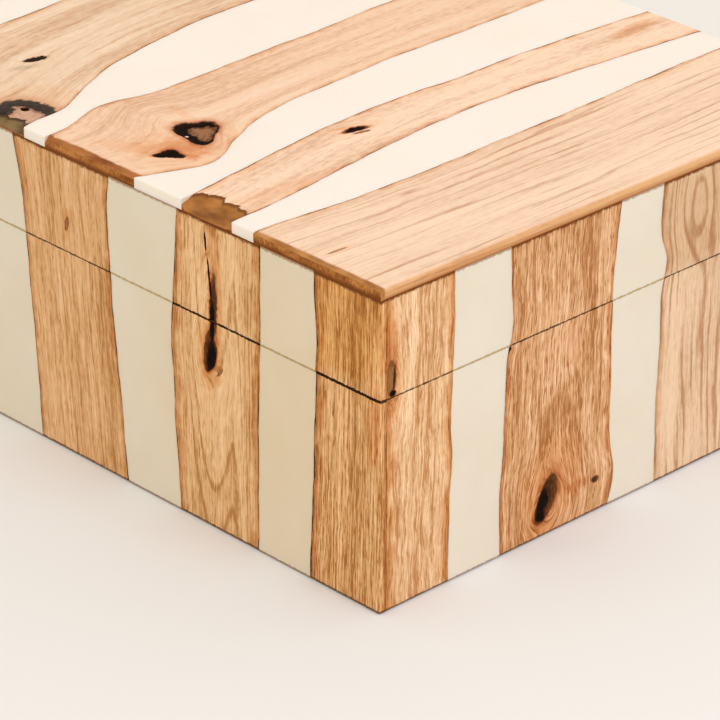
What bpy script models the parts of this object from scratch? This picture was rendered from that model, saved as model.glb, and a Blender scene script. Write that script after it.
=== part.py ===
"""Inlaid wooden box: strips of live-edge wood and ivory resin glued over a board carcass.

The origin is the middle of the underside, on the surface that the box stands on. +Z is up,
the front faces -Y and the hinges are at +Y. The lid turns on two small brass butt hinges.
Lengths are metres, apart from the tables of strip edges, which are millimetres.
"""

import math

import bmesh
import bpy
import numpy as np
from mathutils import Matrix, Vector

# Driving dimensions of the box
WIDTH = 0.300
DEPTH = 0.200
SIDE_HEIGHT = 0.098
TOP_THICKNESS = 0.0033
SEAM_HEIGHT = 0.0672
SHEET = 0.0025
BOARD = 0.008
PANEL = 0.005
FELT = 0.0006
FELT_INSET = 0.0012
GAP = 0.0003

# Driving dimensions of a hinge
HINGE_SPREAD = 0.085
LEAF_WIDTH = 0.026
LEAF_DEPTH = 0.0098
LEAF_THICKNESS = 0.001
KNUCKLE_RADIUS = 0.0018
BARREL_OUT = 0.0019
PIN_RADIUS = 0.0008
PIN_CLEARANCE = 0.00012
PIN_OVERHANG = 0.0004
KNUCKLES = 3
TONGUE_SETBACK = 0.0001
SCREW_SPREAD = 0.008
SCREW_INSET = 0.0068
SCREW_HEAD_RADIUS = 0.0017
SCREW_SHANK_RADIUS = 0.0009
SCREW_HEAD_DEPTH = 0.0008
SCREW_LENGTH = 0.0075
SCREW_SUNK = 0.0001
SCREW_CLEARANCE = 0.0002
SLOT_WIDTH = 0.0005
SLOT_DEPTH = 0.00035

# How many straight stretches stand for a strip's curved edge
TOP_STEPS = 32
LID_STEPS = 5
BASE_STEPS = 11
ROUND_STEPS = 20

# Where one strip ends and the next begins, in millimetres.
# Top: (distance back from the front edge, distance in from the right edge).
TOP_EDGES = [
    [(0, 51), (17, 50), (30, 48.5), (46, 48), (70, 47.8), (95, 48.5), (129, 49.2), (175, 51.2), (200, 51.4)],
    [(0, 60), (20, 61.5), (37, 63.8), (56, 66.6), (92, 70.4), (110, 71.1), (142, 69.7), (174, 67), (200, 64.5)],
    [(0, 81), (17, 83.4), (34, 86), (70, 90.6), (104, 91), (120, 89.9), (137, 90.4), (163, 89.5), (200, 87)],
    [(0, 101.8), (7, 98.9), (13, 96.7), (19, 94.6), (23, 94.2), (27, 94.9), (32, 97.5), (38, 101.4), (42, 103.2),
     (49, 106.5), (61, 110.2), (74, 112.2), (92, 113.2), (110, 114.8), (136, 115), (163, 115.4), (200, 116.5)],
    [(0, 141.5), (10, 142.3), (15, 144.1), (19, 146), (23, 147.4), (30, 147.6), (34, 147), (40, 145.2),
     (47, 144.5), (64, 144.8), (98, 146.2), (115, 146.5), (133, 147.9), (175, 149), (200, 149.4)],
    [(0, 151), (7, 152.5), (15, 153), (21, 155.2), (28, 159.2), (35, 163), (42, 166.2), (48, 168.8), (54, 170.4),
     (73, 174.6), (93, 177.8), (111, 178.6), (140, 178.4), (170, 180), (200, 181)],
    [(0, 213), (20, 216), (45, 218), (54, 218.3), (71, 220), (100, 221), (150, 219), (200, 221)],
    [(0, 248), (40, 251), (90, 247), (140, 250), (200, 246)],
]
# Front: (height, distance in from the right edge).
FRONT_EDGES = [
    [(0, 28.5), (13, 28), (29, 27.1), (42, 26.7), (65, 25.7), (77, 25.3), (89, 26), (98, 26.4)],
    [(0, 50.1), (24, 49.8), (49, 49.4), (67, 48.7), (81, 48.5), (98, 48.3)],
    [(0, 84), (10, 84.3), (26, 85.6), (42, 86), (58, 86.8), (68, 86.1), (84, 84.8), (98, 83.5)],
    [(0, 107.5), (11, 108.5), (26, 109.7), (39, 111), (55, 112.6), (77, 113.5), (90, 113.9), (98, 112.6)],
    [(0, 147.4), (19, 148.4), (32, 149.2), (45, 150.3), (60, 151.4), (74, 152.4), (86, 154.1), (98, 156.7)],
    [(0, 186), (40, 184), (67, 182.5), (98, 180)],
    [(0, 213), (30, 212.5), (67, 214), (98, 216)],
    [(0, 249), (30, 246.5), (67, 244), (98, 246)],
]
# Right side: (height, distance back from the front edge).
RIGHT_EDGES = [
    [(0, 27), (20, 27.1), (29, 27.4), (39, 28), (52, 27.4), (67, 27.9), (89, 28.3), (98, 28.1)],
    [(0, 48.1), (13, 47.4), (23, 47.6), (35, 48.5), (51, 48.9), (65, 49.8), (71, 51.2), (84, 50.8), (98, 50.1)],
    [(0, 92.6), (4, 94), (8, 94.9), (13, 95.1), (19, 93.6), (41, 92.9), (67, 92.6), (86, 93.9), (98, 95.5)],
    [(0, 113.2), (34, 112.9), (47, 113.6), (61, 113.3), (67, 114.3), (72, 115.2), (80, 112.8), (98, 112.6)],
    [(0, 166), (40, 163), (67, 164), (98, 167)],
]

FRONT_Y = -DEPTH / 2
RIGHT_X = WIDTH / 2
BASE_TOP = SEAM_HEIGHT - GAP / 2
LID_BOTTOM = SEAM_HEIGHT + GAP / 2
LID_TOP = SIDE_HEIGHT - GAP
SHEET_BOTTOM = FELT + GAP
HINGE_AXIS = Vector((0, DEPTH / 2 + BARREL_OUT, SEAM_HEIGHT))
QUARTER_TURN = math.pi / 2


def clear_scene():
    for obj in list(bpy.data.objects):
        bpy.data.objects.remove(obj)


def make_collection(name):
    collection = bpy.data.collections.new(name)
    bpy.context.scene.collection.children.link(collection)
    return collection


def make_material(name, colour, roughness, metallic=0.0):
    material = bpy.data.materials.new(name)
    material.use_nodes = True
    shader = material.node_tree.nodes["Principled BSDF"]
    shader.inputs["Base Color"].default_value = (*colour, 1)
    shader.inputs["Roughness"].default_value = roughness
    shader.inputs["Metallic"].default_value = metallic
    material.diffuse_color = (*colour, 1)
    return material


def make_pivot(name, location):
    pivot = bpy.data.objects.new(name, None)
    pivot.location = location
    pivot.empty_display_size = 0.02
    box_collection.objects.link(pivot)
    return pivot


def add_part(name, data, material, pivot):
    """A named sub-part that belongs to the pivot's body. Its location stays in world terms."""
    data.materials.append(material)
    part = bpy.data.objects.new(name, data)
    part.parent = pivot
    part.matrix_parent_inverse = Matrix.Translation(-pivot.location)
    box_collection.objects.link(part)
    return part


def add_cutter(name, data):
    cutter = bpy.data.objects.new(name, data)
    cutter.hide_render = True
    cutter.display_type = "WIRE"
    cutter_collection.objects.link(cutter)
    return cutter


def combine(part, other, operation):
    modifier = part.modifiers.new(operation.lower(), "BOOLEAN")
    modifier.object = other
    modifier.operation = operation


def block_mesh(name, low, high):
    """A box mesh centred on its own origin, and the place of that origin."""
    low, high = Vector(low), Vector(high)
    shape = bmesh.new()
    bmesh.ops.create_cube(shape, size=1, matrix=Matrix.Diagonal((*(high - low), 1)))
    mesh = bpy.data.meshes.new(name)
    shape.to_mesh(mesh)
    shape.free()
    return mesh, (low + high) / 2


def block(name, low, high, material, pivot):
    mesh, middle = block_mesh(name, low, high)
    part = add_part(name, mesh, material, pivot)
    part.location = middle
    return part


def block_cutter(name, low, high):
    mesh, middle = block_mesh(name, low, high)
    cutter = add_cutter(name, mesh)
    cutter.location = middle
    return cutter


def rod_mesh(name, radius, length):
    """A closed cylinder along X, centred on its own origin."""
    shape = bmesh.new()
    bmesh.ops.create_cone(
        shape, cap_ends=True, segments=ROUND_STEPS, radius1=radius, radius2=radius, depth=length,
        matrix=Matrix.Rotation(QUARTER_TURN, 4, "Y"),
    )
    mesh = bpy.data.meshes.new(name)
    shape.to_mesh(mesh)
    shape.free()
    mesh.shade_smooth()
    mesh.set_sharp_from_angle(angle=math.radians(40))
    return mesh


def turned(obj, steps=ROUND_STEPS):
    """Turns the object's profile once round its own Z axis."""
    screw = obj.modifiers.new("turn", "SCREW")
    screw.steps = steps
    screw.render_steps = steps
    screw.use_merge_vertices = True
    screw.merge_threshold = 0.0001


def profile_mesh(name, points):
    """An open profile of (radius, height) points, given from top to bottom."""
    mesh = bpy.data.meshes.new(name)
    places = [(radius, 0, height) for radius, height in points]
    mesh.from_pydata(places, [(i, i + 1) for i in range(len(points) - 1)], [])
    return mesh


def edge_line(points, stations):
    """A smooth edge through the points, read at the stations: a cubic between each two points,
    whose slope at a point is the slope between that point's neighbours."""
    along, across = np.array(points, float).T * 0.001
    slope = np.gradient(across, along)
    at = np.clip(np.searchsorted(along, stations) - 1, 0, len(along) - 2)
    span = along[at + 1] - along[at]
    t = (stations - along[at]) / span
    start = (1 + 2 * t) * (1 - t) ** 2 * across[at] + t * (1 - t) ** 2 * span * slope[at]
    end = t**2 * (3 - 2 * t) * across[at + 1] + t**2 * (t - 1) * span * slope[at + 1]
    return start + end


def strip_edges(lines, stations, first, last):
    """Both edges of each strip in turn. Neighbours stand GAP apart, and the outer edges are straight."""
    middles = [edge_line(line, stations) for line in lines]
    starts = [np.full(len(stations), first)] + [line + GAP / 2 for line in middles]
    ends = [line - GAP / 2 for line in middles] + [np.full(len(stations), last)]
    return zip(starts, ends)


def strips(prefix, lines, stations, first, last, thickness, place, pivot):
    """Wood and resin strips in turn, wood first. place turns (across, along) into the flat
    outline's own x and y, and gives the finished strip its location and rotation."""
    for index, (start, end) in enumerate(strip_edges(lines, stations, first, last)):
        kind, material = (("wood", wood), ("resin", resin))[index % 2]
        name = f"{prefix}_{kind}_{index // 2 + 1}"
        outline = bpy.data.curves.new(name, "CURVE")
        outline.dimensions = "2D"
        outline.fill_mode = "BOTH"
        outline.extrude = thickness / 2
        ring = [*zip(start, stations), *reversed([*zip(end, stations)])]
        spline = outline.splines.new("POLY")
        spline.points.add(len(ring) - 1)
        for point, (across, along) in zip(spline.points, ring):
            point.co = (*place["flat"](across, along), 0, 1)
        spline.use_cyclic_u = True
        strip = add_part(name, outline, material, pivot)
        strip.location = place["location"]
        strip.rotation_euler = place["rotation"]


def top_strips():
    place = {
        "flat": lambda across, along: (RIGHT_X - across, FRONT_Y + along),
        "location": (0, 0, SIDE_HEIGHT + TOP_THICKNESS / 2),
        "rotation": (0, 0, 0),
    }
    stations = np.linspace(0, DEPTH, TOP_STEPS + 1)
    strips("top", TOP_EDGES, stations, 0, WIDTH, TOP_THICKNESS, place, lid)


def side_strips(side, lines, first, last, place):
    base_heights = np.linspace(SHEET_BOTTOM, BASE_TOP, BASE_STEPS + 1)
    lid_heights = np.linspace(LID_BOTTOM, LID_TOP, LID_STEPS + 1)
    strips(f"{side}_base", lines, base_heights, first, last, SHEET, place, base)
    strips(f"{side}_lid", lines, lid_heights, first, last, SHEET, place, lid)


def front_strips():
    """They cover the whole front, so their end shows at the corner beside the right side's."""
    place = {
        "flat": lambda across, along: (RIGHT_X - across, along),
        "location": (0, FRONT_Y + SHEET / 2, 0),
        "rotation": (QUARTER_TURN, 0, 0),
    }
    side_strips("front", FRONT_EDGES, 0, WIDTH, place)


def right_strips():
    """They fill the right side between the front strips and the back sheets."""
    place = {
        "flat": lambda across, along: (FRONT_Y + across, along),
        "location": (RIGHT_X - SHEET / 2, 0, 0),
        "rotation": (QUARTER_TURN, 0, QUARTER_TURN),
    }
    inset = SHEET + GAP
    side_strips("right", RIGHT_EDGES, inset, DEPTH - inset, place)


def plain_sheets():
    """The left and back claddings: cast sheets of wood and resin, each sawn into lid and base."""
    back_y = DEPTH / 2
    left_y = back_y - SHEET - GAP
    for part_name, low, high, pivot in (
        ("base", SHEET_BOTTOM, BASE_TOP, base),
        ("lid", LID_BOTTOM, LID_TOP, lid),
    ):
        back = block(
            f"back_{part_name}_sheet",
            (-WIDTH / 2, back_y - SHEET, low), (WIDTH / 2, back_y, high), wood, pivot,
        )
        block(
            f"left_{part_name}_sheet",
            (-WIDTH / 2, -left_y, low), (-WIDTH / 2 + SHEET, left_y, high), wood, pivot,
        )
        for mortise in mortises:
            combine(back, mortise, "DIFFERENCE")


def carcass(name, low, high, hollow_low, hollow_high, pivot):
    """A glued-up tray of boards, open at the seam, with the hinge mortises and screw holes cut."""
    outer = Vector((WIDTH / 2 - SHEET - GAP, DEPTH / 2 - SHEET - GAP, 0))
    inner = outer - Vector((BOARD, BOARD, 0))
    tray = block(name, (-outer.x, -outer.y, low), (outer.x, outer.y, high), board, pivot)
    hollow = block_cutter(
        f"{name}_hollow", (-inner.x, -inner.y, hollow_low), (inner.x, inner.y, hollow_high)
    )
    for cutter in [hollow, *mortises, *screw_holes[pivot.name]]:
        combine(tray, cutter, "DIFFERENCE")


def carcasses():
    beyond = 0.005
    carcass("base_carcass", SHEET_BOTTOM, BASE_TOP, SHEET_BOTTOM + PANEL, BASE_TOP + beyond, base)
    carcass("lid_carcass", LID_BOTTOM, LID_TOP, LID_BOTTOM - beyond, LID_TOP - PANEL, lid)


def base_felt():
    half_x = WIDTH / 2 - FELT_INSET
    half_y = DEPTH / 2 - FELT_INSET
    block("base_felt", (-half_x, -half_y, 0), (half_x, half_y, FELT), felt, base)


def leaf_ends():
    """Where a leaf's plate starts and ends in y."""
    back = HINGE_AXIS.y - KNUCKLE_RADIUS - GAP
    return back - LEAF_DEPTH, back


def mortise_cutters():
    """One pocket at each hinge, which takes both closed leaves out of the two rims."""
    front, _ = leaf_ends()
    half_height = GAP / 2 + LEAF_THICKNESS + GAP
    half_width = LEAF_WIDTH / 2 + GAP
    return [
        block_cutter(
            f"{side}_mortise",
            (x - half_width, front - GAP, SEAM_HEIGHT - half_height),
            (x + half_width, DEPTH / 2 + 0.001, SEAM_HEIGHT + half_height),
        )
        for side, x in HINGES
    ]


def screw_points(grow=0.0, above=0.0):
    """A countersunk screw's profile from its top, with its head at height 0."""
    tip = SCREW_SHANK_RADIUS * 0.9
    return [
        (0, above),
        (SCREW_HEAD_RADIUS + grow, above),
        (SCREW_HEAD_RADIUS + grow, -0.0001),
        (SCREW_SHANK_RADIUS + grow, -SCREW_HEAD_DEPTH - grow),
        (SCREW_SHANK_RADIUS + grow, -SCREW_LENGTH + tip),
        (0, -SCREW_LENGTH - grow),
    ]


def screw_places():
    """Each screw's name, place and direction: base screws point down and lid screws point up."""
    for side, x in HINGES:
        for part_name, direction, pivot in (("base", 1, base), ("lid", -1, lid)):
            height = SEAM_HEIGHT - direction * (GAP / 2 + SCREW_SUNK)
            for number, offset in ((1, -SCREW_SPREAD), (2, SCREW_SPREAD)):
                place = Vector((x + offset, DEPTH / 2 - SCREW_INSET, height))
                turn = 0 if direction == 1 else math.pi
                yield f"{side}_hinge_{part_name}_screw_{number}", place, turn, pivot


def screw_hole_cutters():
    """The countersunk holes of each body, by the name of its pivot."""
    cutters = {base.name: [], lid.name: []}
    for name, place, turn, pivot in screw_places():
        points = screw_points(SCREW_CLEARANCE, 0.0005)
        cutter = add_cutter(f"{name}_hole", profile_mesh(f"{name}_hole", points))
        cutter.location = place
        cutter.rotation_euler.x = turn
        turned(cutter)
        cutters[pivot.name].append(cutter)
    return cutters


def screws():
    for name, place, turn, pivot in screw_places():
        part = add_part(name, profile_mesh(name, screw_points()), brass, pivot)
        part.location = place
        part.rotation_euler.x = turn
        turned(part)
        slot = block_cutter(
            f"{name}_slot",
            place - Vector((0.005, SLOT_WIDTH / 2, SLOT_DEPTH)),
            place + Vector((0.005, SLOT_WIDTH / 2, SLOT_DEPTH)),
        )
        combine(part, slot, "DIFFERENCE")


def knuckle_spans(x):
    """The x range of each knuckle in turn, with a working gap between neighbours."""
    length = (LEAF_WIDTH - (KNUCKLES - 1) * GAP) / KNUCKLES
    starts = [x - LEAF_WIDTH / 2 + i * (length + GAP) for i in range(KNUCKLES)]
    return [(start, start + length) for start in starts]


def leaf(name, x, spans, side, pivot):
    """A hinge leaf: a plate let into the rim, tongues that run back from it, and its knuckles.
    side is -1 below the seam and 1 above it."""
    front, back = leaf_ends()
    near, far = SEAM_HEIGHT + side * GAP / 2, SEAM_HEIGHT + side * (GAP / 2 + LEAF_THICKNESS)
    low, high = min(near, far), max(near, far)
    plate = block(
        name, (x - LEAF_WIDTH / 2, front, low), (x + LEAF_WIDTH / 2, back, high), brass, pivot
    )
    for index, (start, end) in enumerate(spans):
        tongue = block_cutter(
            f"{name}_tongue_{index}",
            (start + TONGUE_SETBACK, back - 0.001, low + TONGUE_SETBACK),
            (end - TONGUE_SETBACK, HINGE_AXIS.y, high - TONGUE_SETBACK),
        )
        barrel = add_cutter(
            f"{name}_barrel_{index}", rod_mesh(name, KNUCKLE_RADIUS, end - start)
        )
        barrel.location = ((start + end) / 2, HINGE_AXIS.y, HINGE_AXIS.z)
        combine(plate, tongue, "UNION")
        combine(plate, barrel, "UNION")
    bore = add_cutter(
        f"{name}_bore", rod_mesh(name, PIN_RADIUS + PIN_CLEARANCE, LEAF_WIDTH + 0.004)
    )
    bore.location = (x, HINGE_AXIS.y, HINGE_AXIS.z)
    for cutter in [bore, *screw_holes[pivot.name]]:
        combine(plate, cutter, "DIFFERENCE")


def hinges():
    for side, x in HINGES:
        spans = knuckle_spans(x)
        leaf(f"{side}_hinge_base_leaf", x, spans[0::2], -1, base)
        leaf(f"{side}_hinge_lid_leaf", x, spans[1::2], 1, lid)
        name = f"{side}_hinge_pin"
        mesh = rod_mesh(name, PIN_RADIUS, LEAF_WIDTH + 2 * PIN_OVERHANG)
        pin = add_part(name, mesh, brass, base)
        pin.location = (x, HINGE_AXIS.y, HINGE_AXIS.z)


HINGES = (("left", -HINGE_SPREAD), ("right", HINGE_SPREAD))

clear_scene()
box_collection = make_collection("inlaid_wooden_box")
cutter_collection = make_collection("cutters")
wood = make_material("strip_wood", (0.62, 0.36, 0.17), 0.45)
resin = make_material("ivory_resin", (0.83, 0.76, 0.62), 0.3)
board = make_material("carcass_board", (0.45, 0.3, 0.17), 0.7)
brass = make_material("brass", (0.72, 0.52, 0.22), 0.35, metallic=1.0)
felt = make_material("felt", (0.09, 0.05, 0.03), 0.95)
base = make_pivot("base", (0, 0, 0))
lid = make_pivot("lid_pivot", HINGE_AXIS)
mortises = mortise_cutters()
screw_holes = screw_hole_cutters()

top_strips()
front_strips()
right_strips()
plain_sheets()
carcasses()
base_felt()
hinges()
screws()
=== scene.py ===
"""Looks of the inlaid wooden box: live-edge wood and ivory resin strips over a board carcass.

Lengths are metres, unless a name ends in _MM. The tables of marks, arches, breaks and woods say
where they hold millimetres. Each side of the box is a Face, on which a place is told by how far it
is across the strips and along their grain, both from the face's own corner. The top, front and
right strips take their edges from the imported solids. The left and back solids are whole sheets, so
the edges of their strips are drawn here.
"""

import math
from collections import namedtuple

import bpy
import numpy as np
from mathutils import Matrix, Vector


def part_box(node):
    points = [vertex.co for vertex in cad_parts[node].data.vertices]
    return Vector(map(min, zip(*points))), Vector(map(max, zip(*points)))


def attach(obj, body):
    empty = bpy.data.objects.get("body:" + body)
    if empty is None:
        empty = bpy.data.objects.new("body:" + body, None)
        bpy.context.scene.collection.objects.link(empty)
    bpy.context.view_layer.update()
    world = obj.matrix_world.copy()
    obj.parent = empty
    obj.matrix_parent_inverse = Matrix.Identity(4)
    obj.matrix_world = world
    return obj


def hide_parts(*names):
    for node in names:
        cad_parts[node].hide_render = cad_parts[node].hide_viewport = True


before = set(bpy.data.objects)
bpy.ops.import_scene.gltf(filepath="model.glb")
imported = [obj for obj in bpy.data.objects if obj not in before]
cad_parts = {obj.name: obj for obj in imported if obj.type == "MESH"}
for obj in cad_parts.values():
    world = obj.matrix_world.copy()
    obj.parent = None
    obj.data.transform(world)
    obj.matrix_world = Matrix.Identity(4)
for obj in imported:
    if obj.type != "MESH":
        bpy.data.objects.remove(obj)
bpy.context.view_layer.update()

MM = 0.001

# Where the box's planes lie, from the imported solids
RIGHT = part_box("front_base_wood_1")[1].x
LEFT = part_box("front_base_wood_5")[0].x
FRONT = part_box("front_base_wood_1")[0].y
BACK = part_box("back_base_sheet")[1].y
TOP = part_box("top_wood_1")[1].z
UNDER_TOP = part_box("top_wood_1")[0].z
SEAM = (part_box("base_carcass")[1].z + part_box("lid_carcass")[0].z) / 2
FELT_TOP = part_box("base_felt")[1].z
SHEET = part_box("front_base_wood_1")[1].y - FRONT
WIDTH = RIGHT - LEFT
DEPTH = BACK - FRONT

# Fit of the finished strips: how low they reach, how far they stay off the seam where its stain is
# wide and elsewhere, how far the lid's edges are out of line with the base's, and the least
# thickness that a hollow or a break leaves
STRIP_FOOT = FELT_TOP - 0.1 * MM
WIDE_STAIN_MM = 0.45
WIDE_GAP = 0.07 * MM
CLOSE_GAP = 0.015 * MM
LID_SHIFT = 0.25 * MM
LEAST_THICKNESS = 0.25 * MM

# Radii of the strips' edges: the top's, a side's wood and a side's resin
SOFT_EDGE = 0.8 * MM
SAWN_EDGE = 0.15 * MM
RESIN_EDGE = 0.05 * MM

# Meshes of the strips: how far apart their rows are, how far in the lines over a rounded edge lie,
# in radii, and how far two faces turn where their edge is sharp
TOP_STEP = 1.1 * MM
FINE_TOP_STEP = 0.55 * MM
SIDE_STEP = 0.8 * MM
EDGE_LINES = np.array([0, 0.12, 0.4, 1.0])
SHARP_ANGLE = math.radians(38)


# ---------------------------------------------------------------- faces and strip edges


class Face:
    """A flat side of the box: its corner, and its across, along and inward directions."""

    def __init__(self, corner, across, along, inward):
        self.corner = np.array(corner, float)
        self.across = np.array(across, float)
        self.along = np.array(along, float)
        self.inward = np.array(inward, float)

    def place(self, across, along, depth):
        """World points: the corner, plus so much of each of the three directions."""
        return (
            self.corner
            + across[..., None] * self.across
            + along[..., None] * self.along
            + depth[..., None] * self.inward
        )

    def read(self, points):
        """How far world points are across and along."""
        away = points - self.corner
        return away @ self.across, away @ self.along

    def turned(self):
        """Whether across and along turn the other way round than the face's outside does."""
        return float(np.dot(np.cross(self.across, self.along), self.inward)) > 0


TOP_FACE = Face((RIGHT, FRONT, TOP), (-1, 0, 0), (0, 1, 0), (0, 0, -1))
FRONT_FACE = Face((RIGHT, FRONT, 0), (-1, 0, 0), (0, 0, 1), (0, 1, 0))
RIGHT_FACE = Face((RIGHT, FRONT, 0), (0, 1, 0), (0, 0, 1), (-1, 0, 0))
LEFT_FACE = Face((LEFT, FRONT, 0), (0, 1, 0), (0, 0, 1), (1, 0, 0))
BACK_FACE = Face((RIGHT, BACK, 0), (-1, 0, 0), (0, 0, 1), (0, -1, 0))


def kinds(count):
    """Strips in turn, wood first: [("wood", 1), ("resin", 1), ("wood", 2), ...]."""
    return [(("wood", "resin")[i % 2], i // 2 + 1) for i in range(count)]


def solid_edge(face, name, side):
    """One wavy wall of a solid, as levels and how far across it is at each: the corners of the
    triangles that face that way, -1 for the start of the strip and 1 for its end."""
    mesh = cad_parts[name].data
    points = np.array([vertex.co for vertex in mesh.vertices], float)
    corners = np.array([triangle.vertices[:] for triangle in mesh.polygons])
    normals = np.array([triangle.normal for triangle in mesh.polygons], float)
    chosen = corners[normals @ face.across * side > 0.5].ravel()
    across, along = face.read(points[chosen])
    levels, first = np.unique(np.round(along, 6), return_index=True)
    return levels, across[first]


def solid_edges(face, names):
    """The levels along a row of solids, and at each level the lines between them: the outer edge
    of the first, the middle of the gap between each two, and the outer edge of the last."""
    walls = [[solid_edge(face, name, side) for side in (-1, 1)] for name in names]
    levels = np.unique(np.concatenate([levels for pair in walls for levels, _ in pair]))
    starts, ends = (np.array([np.interp(levels, *pair[i]) for pair in walls]) for i in (0, 1))
    return levels, np.vstack([starts[:1], (ends[:-1] + starts[1:]) / 2, ends[-1:]])


def side_edges(face, side, count):
    """The lines of a side, read from its base strips and then its lid strips."""
    rows = [
        solid_edges(face, [f"{side}_{half}_{kind}_{number}" for kind, number in kinds(count)])
        for half in ("base", "lid")
    ]
    return np.concatenate([rows[0][0], rows[1][0]]), np.hstack([rows[0][1], rows[1][1]])


def drawn_edges(first, last, shares, seed):
    """Lines for a side whose solids are whole sheets: the width is shared out by the given parts,
    and each inner line leans and bows by a millimetre or two."""
    rng = np.random.default_rng(seed)
    levels = np.linspace(0, UNDER_TOP, 12)
    marks = first + (last - first) * np.cumsum([0, *shares]) / sum(shares)
    lines = np.repeat(marks[:, None], len(levels), axis=1)
    height = levels / UNDER_TOP
    for line in lines[1:-1]:
        lean, bow, phase = rng.uniform(-2.2, 2.2) * MM, rng.uniform(0.6, 1.9) * MM, rng.uniform(0, 6)
        line += lean * (height - 0.5) + bow * np.sin(5.5 * height + phase)
    return levels, lines


def smooth(levels, values, at):
    """A cubic through the values at the levels: between two levels it starts and ends with the
    slope that each level's neighbours give."""
    at = np.clip(at, levels[0], levels[-1])
    slope = np.gradient(values, levels)
    i = np.clip(np.searchsorted(levels, at) - 1, 0, len(levels) - 2)
    span = levels[i + 1] - levels[i]
    t = (at - levels[i]) / span
    start = (1 + 2 * t) * (1 - t) ** 2 * values[i] + t * (1 - t) ** 2 * span * slope[i]
    end = t**2 * (3 - 2 * t) * values[i + 1] + t**2 * (t - 1) * span * slope[i + 1]
    return start + end


def ripple(along, seed, scale=1.0):
    """The small unevenness of a live edge: sines of halving length, each with its own phase and a
    height that falls a little slower than its length."""
    rng = np.random.default_rng(seed)
    lengths = 21 * MM / 2.0 ** np.arange(5)
    heights = 0.15 * MM * scale * (lengths / lengths[0]) ** 0.8
    phases = rng.uniform(0, 2 * np.pi, len(lengths))
    return (heights * np.sin(2 * np.pi * along[..., None] / lengths + phases)).sum(-1)


# ---------------------------------------------------------------- marks in the wood

# A knot, crack, burr or stain: its place on its face and its half sizes in millimetres, its turn in
# degrees, how three-cornered its outline is, how deep it is sunk in millimetres, how ragged its
# rim is, and which of the finishes below it is painted with. Later marks lie over earlier ones.
Mark = namedtuple("Mark", "across along half_across half_along turn lobes sunk ragged finish")

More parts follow.
